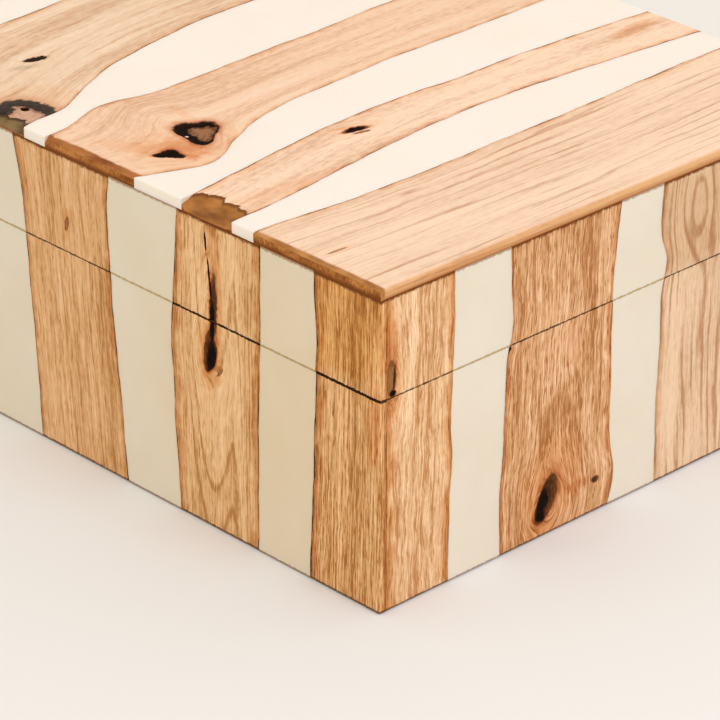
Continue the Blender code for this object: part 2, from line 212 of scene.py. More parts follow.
MARKS = {
    "top_wood_3": [
        Mark(108, 27, 15, 17, 0, 0, 0, 0.5, "blush"),
        Mark(109.5, 21, 10, 4.5, -40, 0, 0, 0.8, "ember"),
        Mark(126.5, 40.5, 6.5, 1.6, 14, 0, 0, 0.9, "blush"),
        Mark(121.5, 12, 8, 3.5, -20, 0, 0, 0.8, "blush"),
        Mark(108.5, 26, 8, 6, 35, 0, 0, 0.6, "ember"),
        Mark(113.6, 34.9, 8.7, 6.5, 210, 0.18, 1.1, 0.13, "burnt"),
        Mark(113.2, 36.6, 5.4, 4.0, 211, 0.2, 0, 0.3, "bark"),
        # A painted highlight: a small white glint in the knot's hollow
        Mark(114.4, 31.6, 0.8, 0.5, -40, 0, 0, 0.3, "glint_highlight"),
        Mark(113.2, 32.6, 1.3, 0.9, -40, 0, 0.5, 0.3, "burnt"),
        Mark(107.2, 18.2, 3.0, 4.5, 47, 0.2, 1.0, 0.12, "burnt"),
        Mark(86, 96, 4, 26, 0, 0, 0, 0.8, "grey"),
        Mark(101, 21.5, 2.2, 1.6, 30, 0, 0, 0.8, "ember"),
        Mark(144, 2.5, 2.0, 2.6, 0, 0, 0, 0.4, "bark"),
    ],
    "top_wood_2": [
        Mark(83.5, 71.0, 2.9, 9.0, 10, 0, 0, 0.6, "blush"),
        Mark(86.5, 66.5, 0.7, 3.4, 14, 0, 0, 0.5, "ember"),
        Mark(83.2, 69.6, 1.6, 5.0, 10, 0.1, 0.4, 0.3, "bark"),
        Mark(83.6, 69.8, 1.2, 3.5, 10, 0.1, 0.6, 0.2, "burnt"),
        Mark(80.4, 69.8, 0.7, 2.6, 12, 0, 0, 0.5, "bark"),
        Mark(66.0, 30.0, 3.5, 22, 6, 0, 0, 0.8, "blush"),
        Mark(80.0, 186.0, 2.6, 9.0, -6, 0, 0, 0.5, "ember"),
    ],
    "top_wood_4": [
        Mark(160, 12, 15, 14, 0, 0, 0, 0.45, "blush"),
        Mark(159.4, 6.4, 10.0, 9.9, 20, 0.06, 0, 0.2, "char"),
        Mark(157.4, 4.4, 7.6, 6.6, 20, 0.1, 0, 0.3, "bark_light"),
        Mark(164.5, 3.0, 3.4, 3.6, 0, 0, 0, 0.6, "char"),
        Mark(161.1, 8.7, 1.5, 1.2, 0, 0, 0.7, 0.3, "burnt"),
        Mark(188.8, 35.6, 1.6, 4.2, 12, 0, 0.4, 0.3, "char"),
        Mark(201.4, 36.0, 1.2, 1.7, 0, 0, 0, 0.4, "grey"),
        Mark(186.0, 28.5, 1.8, 6.0, 18, 0, 0, 0.6, "grey"),
    ],
    "top_wood_5": [
        Mark(276.0, 118.0, 12.0, 18.0, 6, 0, 0, 0.5, "blush"),
        Mark(276.0, 118.0, 4.2, 6.5, 6, 0.15, 0.7, 0.25, "burnt"),
    ],
    "top_wood_1": [
        Mark(26.3, 8.6, 0.5, 3.4, 3, 0, 0.1, 0.4, "bark"),
        Mark(26.0, 9.5, 1.2, 6.0, 3, 0, 0, 0.6, "blush"),
    ],
    "front_wood_1": [
        Mark(22.0, 86.5, 26, 15.5, 0, 0, 0, 0.3, "toast"),
        Mark(2.2, 60.0, 2.6, 12.0, 0, 0, 0, 0.6, "ember"),
    ],
    "front_wood_2": [
        Mark(70.0, 57.0, 4.6, 10.5, 4, 0, 0, 0.4, "ember"),
        Mark(67.6, 79.0, 2.6, 17.0, -3, 0, 0, 0.5, "ember"),
        Mark(68.4, 72.0, 1.7, 10.0, 1, 0, 0.1, 0.5, "shadow"),
        Mark(69.9, 80.5, 0.42, 7.5, -6, 0, 0.1, 0.6, "burnt"),
        Mark(69.0, 68.8, 0.9, 4.0, 2, 0, 0.3, 0.4, "burnt"),
        Mark(71.4, 91.5, 0.4, 3.6, -4, 0, 0.1, 0.6, "burnt"),
        Mark(71.9, 86.5, 0.4, 4.0, 22, 0, 0, 0.8, "ember"),
        Mark(70.2, 57.2, 2.8, 6.8, 8, -0.12, 0.5, 0.16, "shadow"),
        Mark(69.8, 55.4, 2.0, 4.8, 8, -0.1, 0.5, 0.2, "burnt"),
        Mark(69.2, 64.0, 1.0, 3.8, 4, 0, 0.3, 0.3, "burnt"),
        Mark(65.9, 51.9, 0.5, 2.1, 40, 0, 0.1, 0.4, "bark"),
    ],
    "front_wood_3": [
        Mark(132.7, 76.3, 1.6, 4.6, 12, 0, 0, 0.5, "ember"),
        Mark(132.7, 76.3, 0.8, 2.3, 12, 0, 0.15, 0.4, "bark"),
    ],
    "front_wood_4": [
        Mark(199.0, 30.0, 7.0, 14.0, -8, 0, 0, 0.4, "ember"),
        Mark(199.0, 30.0, 3.0, 6.5, -8, 0.15, 0.7, 0.25, "burnt"),
    ],
    "right_wood_1": [
        Mark(4.0, 74.5, 3.8, 13.0, 0, 0, 0, 0.5, "ember"),
        Mark(4.2, 73.2, 1.7, 5.6, -3, 0.05, 0.2, 0.3, "olive"),
        Mark(5.4, 72.6, 0.4, 4.2, -4, 0, 0.1, 0.5, "shadow"),
        Mark(4.8, 68.4, 1.1, 0.9, 0, 0, 0.3, 0.5, "burnt"),
    ],
    "right_wood_2": [
        Mark(68.5, 15.0, 10.0, 15.0, -22, 0, 0, 0.45, "ember"),
        Mark(66.9, 11.8, 3.7, 8.4, -24, 0.05, 0.7, 0.14, "shadow"),
        Mark(65.9, 11.2, 2.1, 4.2, -20, 0.1, 0.4, 0.3, "burnt"),
        Mark(64.9, 6.9, 1.9, 1.8, 0, 0, 0.3, 0.3, "burnt"),
        Mark(87.4, 10.9, 1.5, 1.1, 0, 0, 0, 0.5, "shadow"),
        Mark(80.0, 11.6, 3.8, 1.5, 0, 0, 0, 0.6, "ember"),
        Mark(76.0, 60.0, 4.5, 7.0, 10, 0, 0, 0.7, "blush"),
        Mark(50.3, 66.1, 0.8, 1.2, 0, 0.2, 0.5, 0.3, "burnt"),
    ],
    "right_wood_3": [
        Mark(126.0, 84.0, 22, 15, 0, 0, 0, 0.5, "tan"),
        Mark(113.6, 76.0, 3.4, 6.0, 0, 0, 0, 0.6, "blush"),
        Mark(128.8, 87.0, 3.4, 8.0, 4, 0, 0, 0.4, "ring"),
    ],
}

# Finish of a mark: its colour at the heart and at the rim, how much of it shows, the colour that
# the wood round it is multiplied by, how far that halo reaches in half sizes, and how strong it is.
MARK_FINISHES = {
    "burnt": ((0.006, 0.003, 0.002), (0.018, 0.008, 0.004), 1.0, (0.7, 0.36, 0.2), 1.4, 0.8),
    "shadow": ((0.035, 0.014, 0.006), (0.12, 0.045, 0.014), 0.93, (0.7, 0.4, 0.2), 1.5, 0.8),
    "char": ((0.02, 0.012, 0.008), (0.05, 0.027, 0.016), 1.0, (0.72, 0.5, 0.36), 1.5, 0.6),
    "bark": ((0.36, 0.17, 0.08), (0.12, 0.045, 0.016), 0.9, (0.72, 0.42, 0.24), 1.35, 0.7),
    "bark_light": ((0.70, 0.41, 0.26), (0.36, 0.18, 0.11), 0.9, (0.9, 0.8, 0.7), 1.3, 0.4),
    "olive": ((0.27, 0.14, 0.04), (0.12, 0.05, 0.014), 0.85, (0.75, 0.5, 0.25), 1.4, 0.7),
    "ember": ((0.60, 0.22, 0.08), (0.70, 0.33, 0.14), 0.34, (0.92, 0.74, 0.56), 1.5, 0.7),
    "blush": ((0.84, 0.46, 0.28), (0.84, 0.48, 0.3), 0.3, (0.98, 0.9, 0.82), 1.4, 0.8),
    "grey": ((0.42, 0.36, 0.25), (0.5, 0.42, 0.28), 0.4, (0.9, 0.88, 0.8), 1.4, 0.6),
    "toast": ((0.6, 0.36, 0.2), (0.6, 0.36, 0.2), 0.0, (0.93, 0.83, 0.62), 1.3, 1.0),
    "tan": ((0.6, 0.36, 0.2), (0.6, 0.36, 0.2), 0.0, (0.87, 0.815, 0.735), 1.35, 1.0),
    # glint_highlight is a painted highlight: a small white glint
    "glint_highlight": ((0.85, 0.80, 0.74), (0.60, 0.5, 0.42), 1.0, (1, 1, 1), 1.2, 0),
    "ring": ((0.66, 0.42, 0.25), (0.74, 0.5, 0.3), 0.2, (1, 1, 1), 1.2, 0),
}

# Where growth rings come up as arches: the arches' middle line and half width across the strip,
# the level where a ring crosses the middle line at its own place, how much each bows, and how far
# the rings climb for each millimetre along. In millimetres.
Arch = namedtuple("Arch", "middle level bow climb half_width")
ARCHES = {
    "front_wood_2": Arch(68.8, 30, 0.06, -0.115, 13),
    "right_wood_2": Arch(72.0, 50, 0.04, 0.09, 12),
    "plain_wood_2": Arch(100, 40, 0.05, 0.1, 30),
}

# Breaks along the top's front edge: middle across, half width, reach back and drop, in
# millimetres, and raggedness
TOP_BREAKS = {
    "top_wood_2": [(71.0, 11.5, 9.0, 3.05, 1.6), (60.5, 4.5, 5.0, 2.6, 2.0)],
    "top_wood_4": [(156.5, 8.0, 2.6, 2.9, 1.6), (171.0, 4.0, 1.2, 1.2, 2)],
    "top_wood_3": [(118.0, 27.0, 3.0, 0.6, 0.3), (143.0, 3.0, 3.4, 1.8, 2)],
    "top_wood_1": [(24.0, 31.0, 2.0, 0.55, 0.3)],
}


def mark_reach(mark, across, along):
    """How far out a place is from a mark's middle, in the mark's own turned half sizes. A three
    cornered outline swells and shrinks by its lobes as it goes round."""
    turn = math.radians(mark.turn)
    a, b = across / MM - mark.across, along / MM - mark.along
    u = (a * math.cos(turn) + b * math.sin(turn)) / mark.half_across
    v = (b * math.cos(turn) - a * math.sin(turn)) / mark.half_along
    return np.hypot(u, v) / (1 + mark.lobes * np.cos(3 * np.arctan2(v, u)))


def sunk_marks(marks, across, along):
    """Each sunk mark is a hollow: a steep wall inside its rim, then a floor that still falls a
    little towards its middle."""
    depth = np.zeros_like(across)
    for mark in marks:
        inside = np.clip(1 - mark_reach(mark, across, along), 0, 1)
        wall = np.clip(inside / 0.22, 0, 1)
        wall = wall * wall * (3 - 2 * wall)
        depth = np.maximum(depth, mark.sunk * MM * (0.75 * wall + 0.25 * inside))
    return depth


def breaks(spots, across, along):
    """A break rises from its full drop at the front edge to the surface at its reach, as a power of
    how far in it is. The reach is greatest at its middle and wanders in teeth, and a finer ripple
    makes it gritty."""
    drop = np.zeros_like(across)
    for index, (middle, half_width, reach, fall, ragged) in enumerate(spots):
        side = (across / MM - middle) / half_width
        teeth = ripple(across * 3.1, 71 + index, 2.4 * ragged)
        teeth = teeth + ripple(across * 0.9, 5 + index, 2 * ragged)
        here = (reach * MM + teeth) * np.clip(1 - side**4, 0, 1) ** 0.5
        slope = np.clip(1 - along / np.maximum(here, 0.02 * MM), 0, 1)
        grit = 0.5 * ripple(across * 1.7 + along * 0.6, 31 + index, 1.0)
        fallen = (fall * MM + grit) * slope**0.6 * np.clip(2.4 * (1 - side**2), 0, 1)
        drop = np.maximum(drop, np.where(slope > 0, fallen, 0))
    return np.clip(drop, 0, None)


def grain_shift(marks, across, along):
    """Grain passes round a sunk mark: near it, each place takes the grain of one nearer its middle
    line, so the lines beside it bulge. The pull is a bell curve across and along."""
    shift = np.zeros_like(across)
    for mark in marks:
        if mark.sunk:
            away_a, away_b = across - mark.across * MM, along - mark.along * MM
            spread_a = max(3.0 * mark.half_across, 2.0) * MM
            spread_b = max(1.9 * mark.half_along, 4) * MM
            near = np.exp(-((away_a / spread_a) ** 2) - (away_b / spread_b) ** 2)
            shift -= 0.7 * away_a * near
    return shift


def ring_lines(arch, marks, grain, across, along):
    """Where the growth rings lie. They follow the grain, but over an arch they are the level lines
    of a bowl that leans along the strip, and round a ring mark they close into loops."""
    rings = grain.copy()
    if arch:
        away = across / MM - arch.middle
        near = np.exp(-((away / arch.half_width) ** 4))
        bowl = arch.middle + arch.bow * away**2 + arch.climb * (along / MM - arch.level)
        rings = rings * (1 - near) + bowl * MM * near
    for mark in marks:
        if mark.finish == "ring":
            away_a = across - mark.across * MM
            away_b = (along - mark.along * MM) * mark.half_across / mark.half_along
            loop = np.hypot(away_a, away_b)
            near = np.exp(-((loop / (2.6 * mark.half_across * MM)) ** 4))
            rings = rings * (1 - near) + (mark.across * MM + loop) * near
    return rings


# ---------------------------------------------------------------- strip meshes


def lip(distance, radius):
    """How deep a rounded edge lies at a distance from it: a quarter circle."""
    inside = np.clip(radius - distance, 0, radius)
    return radius - np.sqrt(radius**2 - inside**2)


def spaced(first, last, step, radius):
    """Rows from first to last, a step apart, with closer ones where the ends are rounded."""
    count = max(2, round((last - first) / step))
    rows = np.linspace(first, last, count + 1)
    close = radius * EDGE_LINES
    inner = rows[(rows > first + 1.4 * radius) & (rows < last - 1.4 * radius)]
    return np.concatenate([first + close, inner, (last - close)[::-1]])


def write_mesh(name, points, quads, materials, slots, maps, masks):
    """A mesh from whole arrays: its points, its four-cornered faces, each face's material, and
    UV maps and masks that are given point by point."""
    mesh = bpy.data.meshes.new(name)
    mesh.vertices.add(len(points))
    mesh.vertices.foreach_set("co", points.astype(np.float32).ravel())
    mesh.loops.add(quads.size)
    mesh.loops.foreach_set("vertex_index", quads.ravel().astype(np.int32))
    mesh.polygons.add(len(quads))
    mesh.polygons.foreach_set("loop_start", np.arange(0, quads.size, 4, dtype=np.int32))
    for material in materials:
        mesh.materials.append(material)
    mesh.polygons.foreach_set("material_index", slots.astype(np.int32))
    mesh.update(calc_edges=True)
    for map_name, values in maps.items():
        layer = mesh.uv_layers.new(name=map_name)
        layer.uv.foreach_set("vector", values[quads.ravel()].astype(np.float32).ravel())
    for mask_name, values in masks.items():
        mask = mesh.attributes.new(mask_name, "FLOAT", "POINT")
        mask.data.foreach_set("value", values.astype(np.float32))
    mesh.shade_smooth()
    mesh.set_sharp_from_angle(angle=SHARP_ANGLE)
    piece = bpy.data.objects.new(name, mesh)
    bpy.context.scene.collection.objects.link(piece)
    return piece


def columns(start, end, step, round_start, round_end):
    """How a strip's columns share out its width, and how far each lies off that share: none but
    the ones over a rounded edge, which close up on it."""
    count = max(4, round(float(np.mean(end - start)) / step))
    shares = np.linspace(0, 1, count + 1)[1:-1]
    extra = len(EDGE_LINES)
    share = np.concatenate([np.zeros(extra), shares, np.ones(extra)])
    close_start, close_end = EDGE_LINES * round_start, -EDGE_LINES * round_end
    offset = np.concatenate([close_start, shares * 0, close_end[::-1]])
    first = 0 if round_start else extra - 1
    last = len(share) if round_end else len(share) - extra + 1
    return share[first:last], offset[first:last]


def held_clear(along, recess):
    """The rows of a base or lid strip, held off the seam by the recess."""
    if along[-1, 0] < SEAM:
        return np.minimum(along, SEAM - recess)
    return np.maximum(along, SEAM + recess)


def rounded(across, along, rows, radii):
    """How deep the rounded edges lie: the deepest of the lips of the four edges that have one."""
    worn = np.zeros_like(across)
    distances = (across - across[:, :1], across[:, -1:] - across, along - rows[0], rows[-1] - along)
    for distance, radius in zip(distances, radii):
        if radius:
            worn = np.maximum(worn, lip(np.abs(distance), radius))
    return worn


def closed_quads(shape):
    """Faces of two like grids and the four walls between them: the face, the underside, the start
    and end walls, and last the walls at the first and last rows."""
    grid = np.arange(shape[0] * shape[1]).reshape(shape)
    under = grid + grid.size

    def quad(a, b, c, d):
        return np.stack([a.ravel(), b.ravel(), c.ravel(), d.ravel()], axis=1)

    return np.vstack([
        quad(grid[:-1, :-1], grid[:-1, 1:], grid[1:, 1:], grid[1:, :-1]),
        quad(under[:-1, :-1], under[1:, :-1], under[1:, 1:], under[:-1, 1:]),
        quad(grid[:-1, 0], grid[1:, 0], under[1:, 0], under[:-1, 0]),
        quad(grid[1:, -1], grid[:-1, -1], under[:-1, -1], under[1:, -1]),
        quad(grid[0, 1:], grid[0, :-1], under[0, :-1], under[0, 1:]),
        quad(grid[-1, :-1], grid[-1, 1:], under[-1, 1:], under[-1, :-1]),
    ])


def grain_lines(start, end, share, offset, across):
    """The grain that runs through each place: two thirds of it keeps its share of the width between
    the two edges, and the rest keeps its distance from the strip's middle line."""
    squeezed = start[0] + share * float(np.mean(end - start)) + offset
    middle_line = ((start + end) / 2)[:, None]
    carried = across - middle_line + float(np.mean(middle_line))
    return 0.65 * squeezed + 0.35 * carried


def strip(name, face, edges, rows, step, thickness, free, radius, materials, marks=(), spots=(),
          notch=None, arch=None):
    """One strip: a grid whose columns share out the width between its two wavy edges and whose
    rows run along it, once for the face and once for the underside, closed by four walls. free
    gives the radii of its edges (start, end, first row, last row) as parts of the radius, and a
    start or end edge without one meets a neighbour. A second material goes on the two end walls."""
    start, end = edges(rows)
    radii = [radius * part for part in free]
    share, offset = columns(start, end, step, radii[0], radii[1])
    across = start[:, None] + share * (end - start)[:, None] + offset
    along = np.repeat(rows[:, None], len(share), axis=1)
    if notch:
        along = held_clear(along, notch(across))
    worn = rounded(across, along, rows, radii)
    drop = breaks(spots, across, along)
    depth = np.maximum(np.maximum(sunk_marks(marks, across, along), worn), drop)
    depth = np.minimum(depth, thickness - LEAST_THICKNESS)

    points = np.vstack([
        face.place(across, along, depth).reshape(-1, 3),
        face.place(across, along, np.full_like(depth, thickness)).reshape(-1, 3),
    ])
    quads = closed_quads(across.shape)
    if face.turned():
        quads = quads[:, ::-1]
    slots = np.zeros(len(quads))
    if len(materials) > 1:
        slots[-2 * (len(share) - 1):] = 1

    grain = grain_lines(start, end, share, offset, across) + grain_shift(marks, across, along)
    rings = ring_lines(arch, marks, grain, across, along)
    # The walls are unfolded outwards, so that patterns run over the edges onto them
    unfold_a = np.zeros_like(across)
    unfold_a[:, 0], unfold_a[:, -1] = -thickness, thickness
    unfold_b = np.zeros_like(across)
    unfold_b[0], unfold_b[-1] = -thickness, thickness
    # How far the nearest glue line is, with a metre for a free edge, and how far the end that carries a
    # dark line of stain and painted shade: the top of a lid strip, or the foot of any other, whose line
    # is narrower
    to_start = np.ones_like(across) if free[0] else across - across[:, :1]
    to_last = np.ones_like(across) if free[1] else across[:, -1:] - across
    to_joint = np.minimum(to_start, to_last)
    to_end = rows[-1] - along if rows[-1] > SEAM + SHEET else 1.8 * (along - rows[0])
    maps = {
        "grain": doubled(grain, along, grain + unfold_a, along + unfold_b),
        "rings": doubled(rings, along, rings + unfold_a, along + unfold_b),
        "face": doubled(across, along, across + unfold_a, along + unfold_b),
        "edges": doubled(to_joint, to_end, to_joint, to_end),
    }
    # Masks: torn by a break, rounded edges and walls, and the walls' and underside's depth. The last
    # two place painted shade.
    broken = np.clip(drop / (1.2 * MM), 0, 1).ravel()
    over_edge = np.clip(worn / (0.5 * MM), 0, 1).ravel()
    masks = {
        "chip": np.concatenate([broken, broken]),
        "edge": np.concatenate([over_edge, np.ones_like(over_edge)]),
        "below": np.repeat([0.0, 1.0], len(broken)),
    }
    return write_mesh(name, points, quads, materials, slots, maps, masks)


def doubled(across, along, under_across, under_along):
    """Point by point values of a map, for the face's grid and then for the underside's."""
    return np.vstack([
        np.stack([across.ravel(), along.ravel()], axis=1),
        np.stack([under_across.ravel(), under_along.ravel()], axis=1),
    ])


# ---------------------------------------------------------------- node building


def put(tree, kind, values=(), **settings):
    """A node with its settings made and its inputs set or joined. Returns the node."""
    made = tree.nodes.new(kind)
    for key, value in settings.items():
        setattr(made, key, value)
    for key, value in dict(values).items():
        socket = made.inputs[key]
        if isinstance(value, bpy.types.NodeSocket):
            tree.links.new(value, socket)
        else:
            socket.default_value = value
    return made


def maths(tree, operation, a, b=0.0, clamp=False):
    """A sum, product or other result of one or two numbers."""
    return put(tree, "ShaderNodeMath", {0: a, 1: b}, operation=operation, use_clamp=clamp).outputs[0]


def stretch(tree, vector, scale, shift=0.0):
    """The vector times a scale, moved along its third axis, which gives each use its own pattern."""
    scaled = put(tree, "ShaderNodeVectorMath", {0: vector, 1: scale}, operation="MULTIPLY").outputs[0]
    lift = put(tree, "ShaderNodeCombineXYZ", {"Z": shift}).outputs[0]
    return put(tree, "ShaderNodeVectorMath", {0: scaled, 1: lift}, operation="ADD").outputs[0]


def noise(tree, vector, scale=1.0, detail=2.0, roughness=0.5):
    """Soft noise from nought to one."""
    values = {"Vector": vector, "Scale": scale, "Detail": detail, "Roughness": roughness}
    return put(tree, "ShaderNodeTexNoise", values).outputs["Fac"]


def between(tree, value, low, high, to_low=0.0, to_high=1.0):
    """The value eased from low..high to to_low..to_high, and held outside."""
    values = {"Value": value, "From Min": low, "From Max": high, "To Min": to_low, "To Max": to_high}
    return put(tree, "ShaderNodeMapRange", values, interpolation_type="SMOOTHSTEP").outputs["Result"]


def blend(tree, factor, a, b, mode="MIX"):
    """Two colours mixed by a factor."""
    made = put(
        tree, "ShaderNodeMix", {0: factor, 6: a, 7: b},
        data_type="RGBA", blend_type=mode, clamp_factor=True,
    )
    return made.outputs[2]


def opaque(colour):
    """A colour with its fourth number."""
    return (*colour, 1.0)


def group(name, inputs, outputs, fill):
    """A shader node group: sockets by name, then fill(tree, the inputs' sockets) gives the
    outputs' values by name."""
    tree = bpy.data.node_groups.new(name, "ShaderNodeTree")
    for socket_name, kind, default in inputs:
        socket = tree.interface.new_socket(socket_name, in_out="INPUT", socket_type=kind)
        if default is not None:
            socket.default_value = default
    for socket_name, kind in outputs:
        tree.interface.new_socket(socket_name, in_out="OUTPUT", socket_type=kind)
    given = tree.nodes.new("NodeGroupInput").outputs
    results = fill(tree, given)
    put(tree, "NodeGroupOutput", results)
    return tree


def place_group(tree, shared, values):
    """A shared effect with its inputs set or joined. Returns its outputs."""
    return put(tree, "ShaderNodeGroup", values, node_tree=shared).outputs


def parts_of(tree, vector):
    return put(tree, "ShaderNodeSeparateXYZ", {0: vector}).outputs


def in_millimetres(tree, vector):
    """A place in metres, made millimetres."""
    return put(tree, "ShaderNodeVectorMath", {0: vector, "Scale": 1000.0}, operation="SCALE").outputs[0]


def swing(tree, value, strength):
    """The value's distance from a half, times the strength."""
    return maths(tree, "MULTIPLY", maths(tree, "SUBTRACT", value, 0.5), strength)


def tint(tree, factor, colour, tone):
    """The colour multiplied by a tone where the factor is one."""
    return blend(tree, factor, colour, opaque(tone), "MULTIPLY")


def cover(tree, factor, colour, tone):
    """The tone laid over the colour where the factor is one."""
    return blend(tree, factor, colour, opaque(tone))


# ---------------------------------------------------------------- shared effects

FLOAT, COLOUR, VECTOR = "NodeSocketFloat", "NodeSocketColor", "NodeSocketVector"


def fill_wood_figure(tree, given):
    """Broad bands, growth rings, fibres, flecks and pores, all drawn out along the grain, set how
    light the wood is. The colour runs from dark through the plain tone to light."""
    seed = given["Seed"]
    seeds = [maths(tree, "ADD", seed, step) for step in (4.0, 9.0, 13.0, 17.0, 21.0, 27.0)]
    grain = in_millimetres(tree, given["Grain"])
    waver = noise(tree, stretch(tree, grain, (0.3, 0.1, 0), seeds[4]), detail=2)
    waver = put(tree, "ShaderNodeCombineXYZ", {"X": swing(tree, waver, given["Waver"])}).outputs[0]
    grain = put(tree, "ShaderNodeVectorMath", {0: grain, 1: waver}, operation="ADD").outputs[0]

    rings = in_millimetres(tree, given["Rings At"])
    sway = noise(tree, stretch(tree, rings, (0.06, 0.014, 0), seed), detail=3)
    turns = maths(tree, "ADD", parts_of(tree, rings)["X"], swing(tree, sway, given["Sway"]))
    turns = maths(tree, "DIVIDE", turns, given["Ring Spacing"])
    uneven = noise(tree, stretch(tree, rings, (0.3, 0.01, 0), seeds[0]))
    turns = maths(tree, "ADD", turns, maths(tree, "MULTIPLY", uneven, 1.6))
    half_turn = maths(tree, "DIVIDE", given["Ring Width"], given["Ring Spacing"])
    from_ring = maths(tree, "SUBTRACT", 0.5, maths(tree, "PINGPONG", turns, 0.5))
    ring = between(tree, maths(tree, "DIVIDE", from_ring, half_turn), 0.0, 1.0, 1.0, 0.0)
    strength = between(tree, noise(tree, stretch(tree, rings, (0.2, 0.02, 0), seeds[5])), 0.35, 0.6)
    ring = maths(tree, "MULTIPLY", maths(tree, "MULTIPLY", ring, strength), given["Rings"])

    bands = noise(tree, stretch(tree, rings, (0.16, 0.008, 0), seeds[1]), detail=3)
    fibre = noise(tree, stretch(tree, grain, (1.5, 0.045, 0), seeds[2]), detail=4, roughness=0.68)
    flecks = noise(tree, stretch(tree, grain, (0.8, 0.3, 0), seeds[5]), detail=4, roughness=0.6)
    pores = noise(tree, stretch(tree, grain, (2.3, 0.2, 0), seeds[3]), detail=2)
    pores = between(tree, maths(tree, "ADD", pores, maths(tree, "MULTIPLY", ring, 0.1)), 0.54, 0.66)
    pores = maths(tree, "MULTIPLY", pores, given["Pores"])

    light = maths(tree, "ADD", 0.5, swing(tree, bands, given["Bands"]))
    light = maths(tree, "ADD", light, swing(tree, fibre, given["Fibres"]))
    light = maths(tree, "ADD", light, swing(tree, flecks, given["Flecks"]))
    light = maths(tree, "SUBTRACT", light, ring)
    light = maths(tree, "SUBTRACT", light, maths(tree, "MULTIPLY", pores, 0.75))
    dark_half = maths(tree, "MULTIPLY", light, 2.0, clamp=True)
    light_half = maths(tree, "SUBTRACT", maths(tree, "MULTIPLY", light, 2.0), 1.0, clamp=True)
    colour = blend(tree, dark_half, given["Dark"], given["Tone"])
    colour = blend(tree, light_half, colour, given["Light"])
    height = maths(tree, "SUBTRACT", maths(tree, "MULTIPLY", fibre, 0.4), pores)
    return {"Color": colour, "Height": height, "Pores": pores}


wood_figure = group(
    "Wood figure",
    [
        ("Grain", VECTOR, None), ("Rings At", VECTOR, None), ("Seed", FLOAT, 0.0),
        ("Dark", COLOUR, None), ("Tone", COLOUR, None), ("Light", COLOUR, None),
        ("Ring Spacing", FLOAT, 3.0), ("Ring Width", FLOAT, 0.8), ("Rings", FLOAT, 0.3),
        ("Bands", FLOAT, 1.0), ("Fibres", FLOAT, 3.0), ("Flecks", FLOAT, 1.0),
        ("Pores", FLOAT, 0.5), ("Sway", FLOAT, 10.0), ("Waver", FLOAT, 1.0),
    ],
    [("Color", COLOUR), ("Height", FLOAT), ("Pores", FLOAT)],
    fill_wood_figure,
)


def fill_joint_line(tree, given):
    """The glue line against a strip's neighbour, the warmer wood beside it, the dark stain at the saw
    cut, and the dark line at the strip's outer end, under the top or at the foot, which is glue stain
    and painted shade. All of them swell and thin as they go."""
    parts = parts_of(tree, in_millimetres(tree, given["Edges"]))
    face = in_millimetres(tree, given["Face"])
    from_seam = maths(tree, "SUBTRACT", parts_of(tree, face)["Y"], given["Seam Level"])
    from_seam = maths(tree, "ABSOLUTE", from_seam)
    slow = noise(tree, stretch(tree, face, (0.12, 0.12, 0), given["Seed"]), detail=2)
    quick = noise(tree, stretch(tree, face, (0.9, 0.9, 0), given["Seed"]), detail=3)
    swell = maths(tree, "ADD", between(tree, slow, 0.35, 0.68, 0.35, 1.3), swing(tree, quick, 1.2))

    def painted(width, distance):
        return between(tree, maths(tree, "SUBTRACT", width, distance), 0.0, 0.2)

    line = painted(maths(tree, "MULTIPLY", swell, given["Line"]), parts["X"])
    steady = maths(tree, "ADD", 0.9, swing(tree, quick, 1.8))
    seam = painted(maths(tree, "MULTIPLY", steady, given["Seam"]), from_seam)
    ends = maths(tree, "DIVIDE", parts["Y"], maths(tree, "MULTIPLY", steady, given["Ends"]))
    ends = between(tree, ends, 0.45, 1.6, 1.0, 0.0)
    warm_width = maths(tree, "MULTIPLY", between(tree, slow, 0.3, 0.7, 0.35, 1.25), given["Warm"])
    warmth = maths(tree, "POWER", maths(tree, "DIVIDE", parts["X"], warm_width), 2.0)
    warmth = maths(tree, "EXPONENT", maths(tree, "MULTIPLY", warmth, -1.0))
    return {"Line": line, "Warmth": warmth, "Cut": seam, "End": ends}


joint_line = group(
    "Joint line",
    [
        ("Edges", VECTOR, None), ("Face", VECTOR, None), ("Seed", FLOAT, 0.0),
        ("Line", FLOAT, 0.35), ("Warm", FLOAT, 2.0), ("Ends", FLOAT, 0.2), ("Seam", FLOAT, 0.2),
        ("Seam Level", FLOAT, 67.0),
    ],
    [("Line", FLOAT), ("Warmth", FLOAT), ("Cut", FLOAT), ("End", FLOAT)],
    fill_joint_line,
)


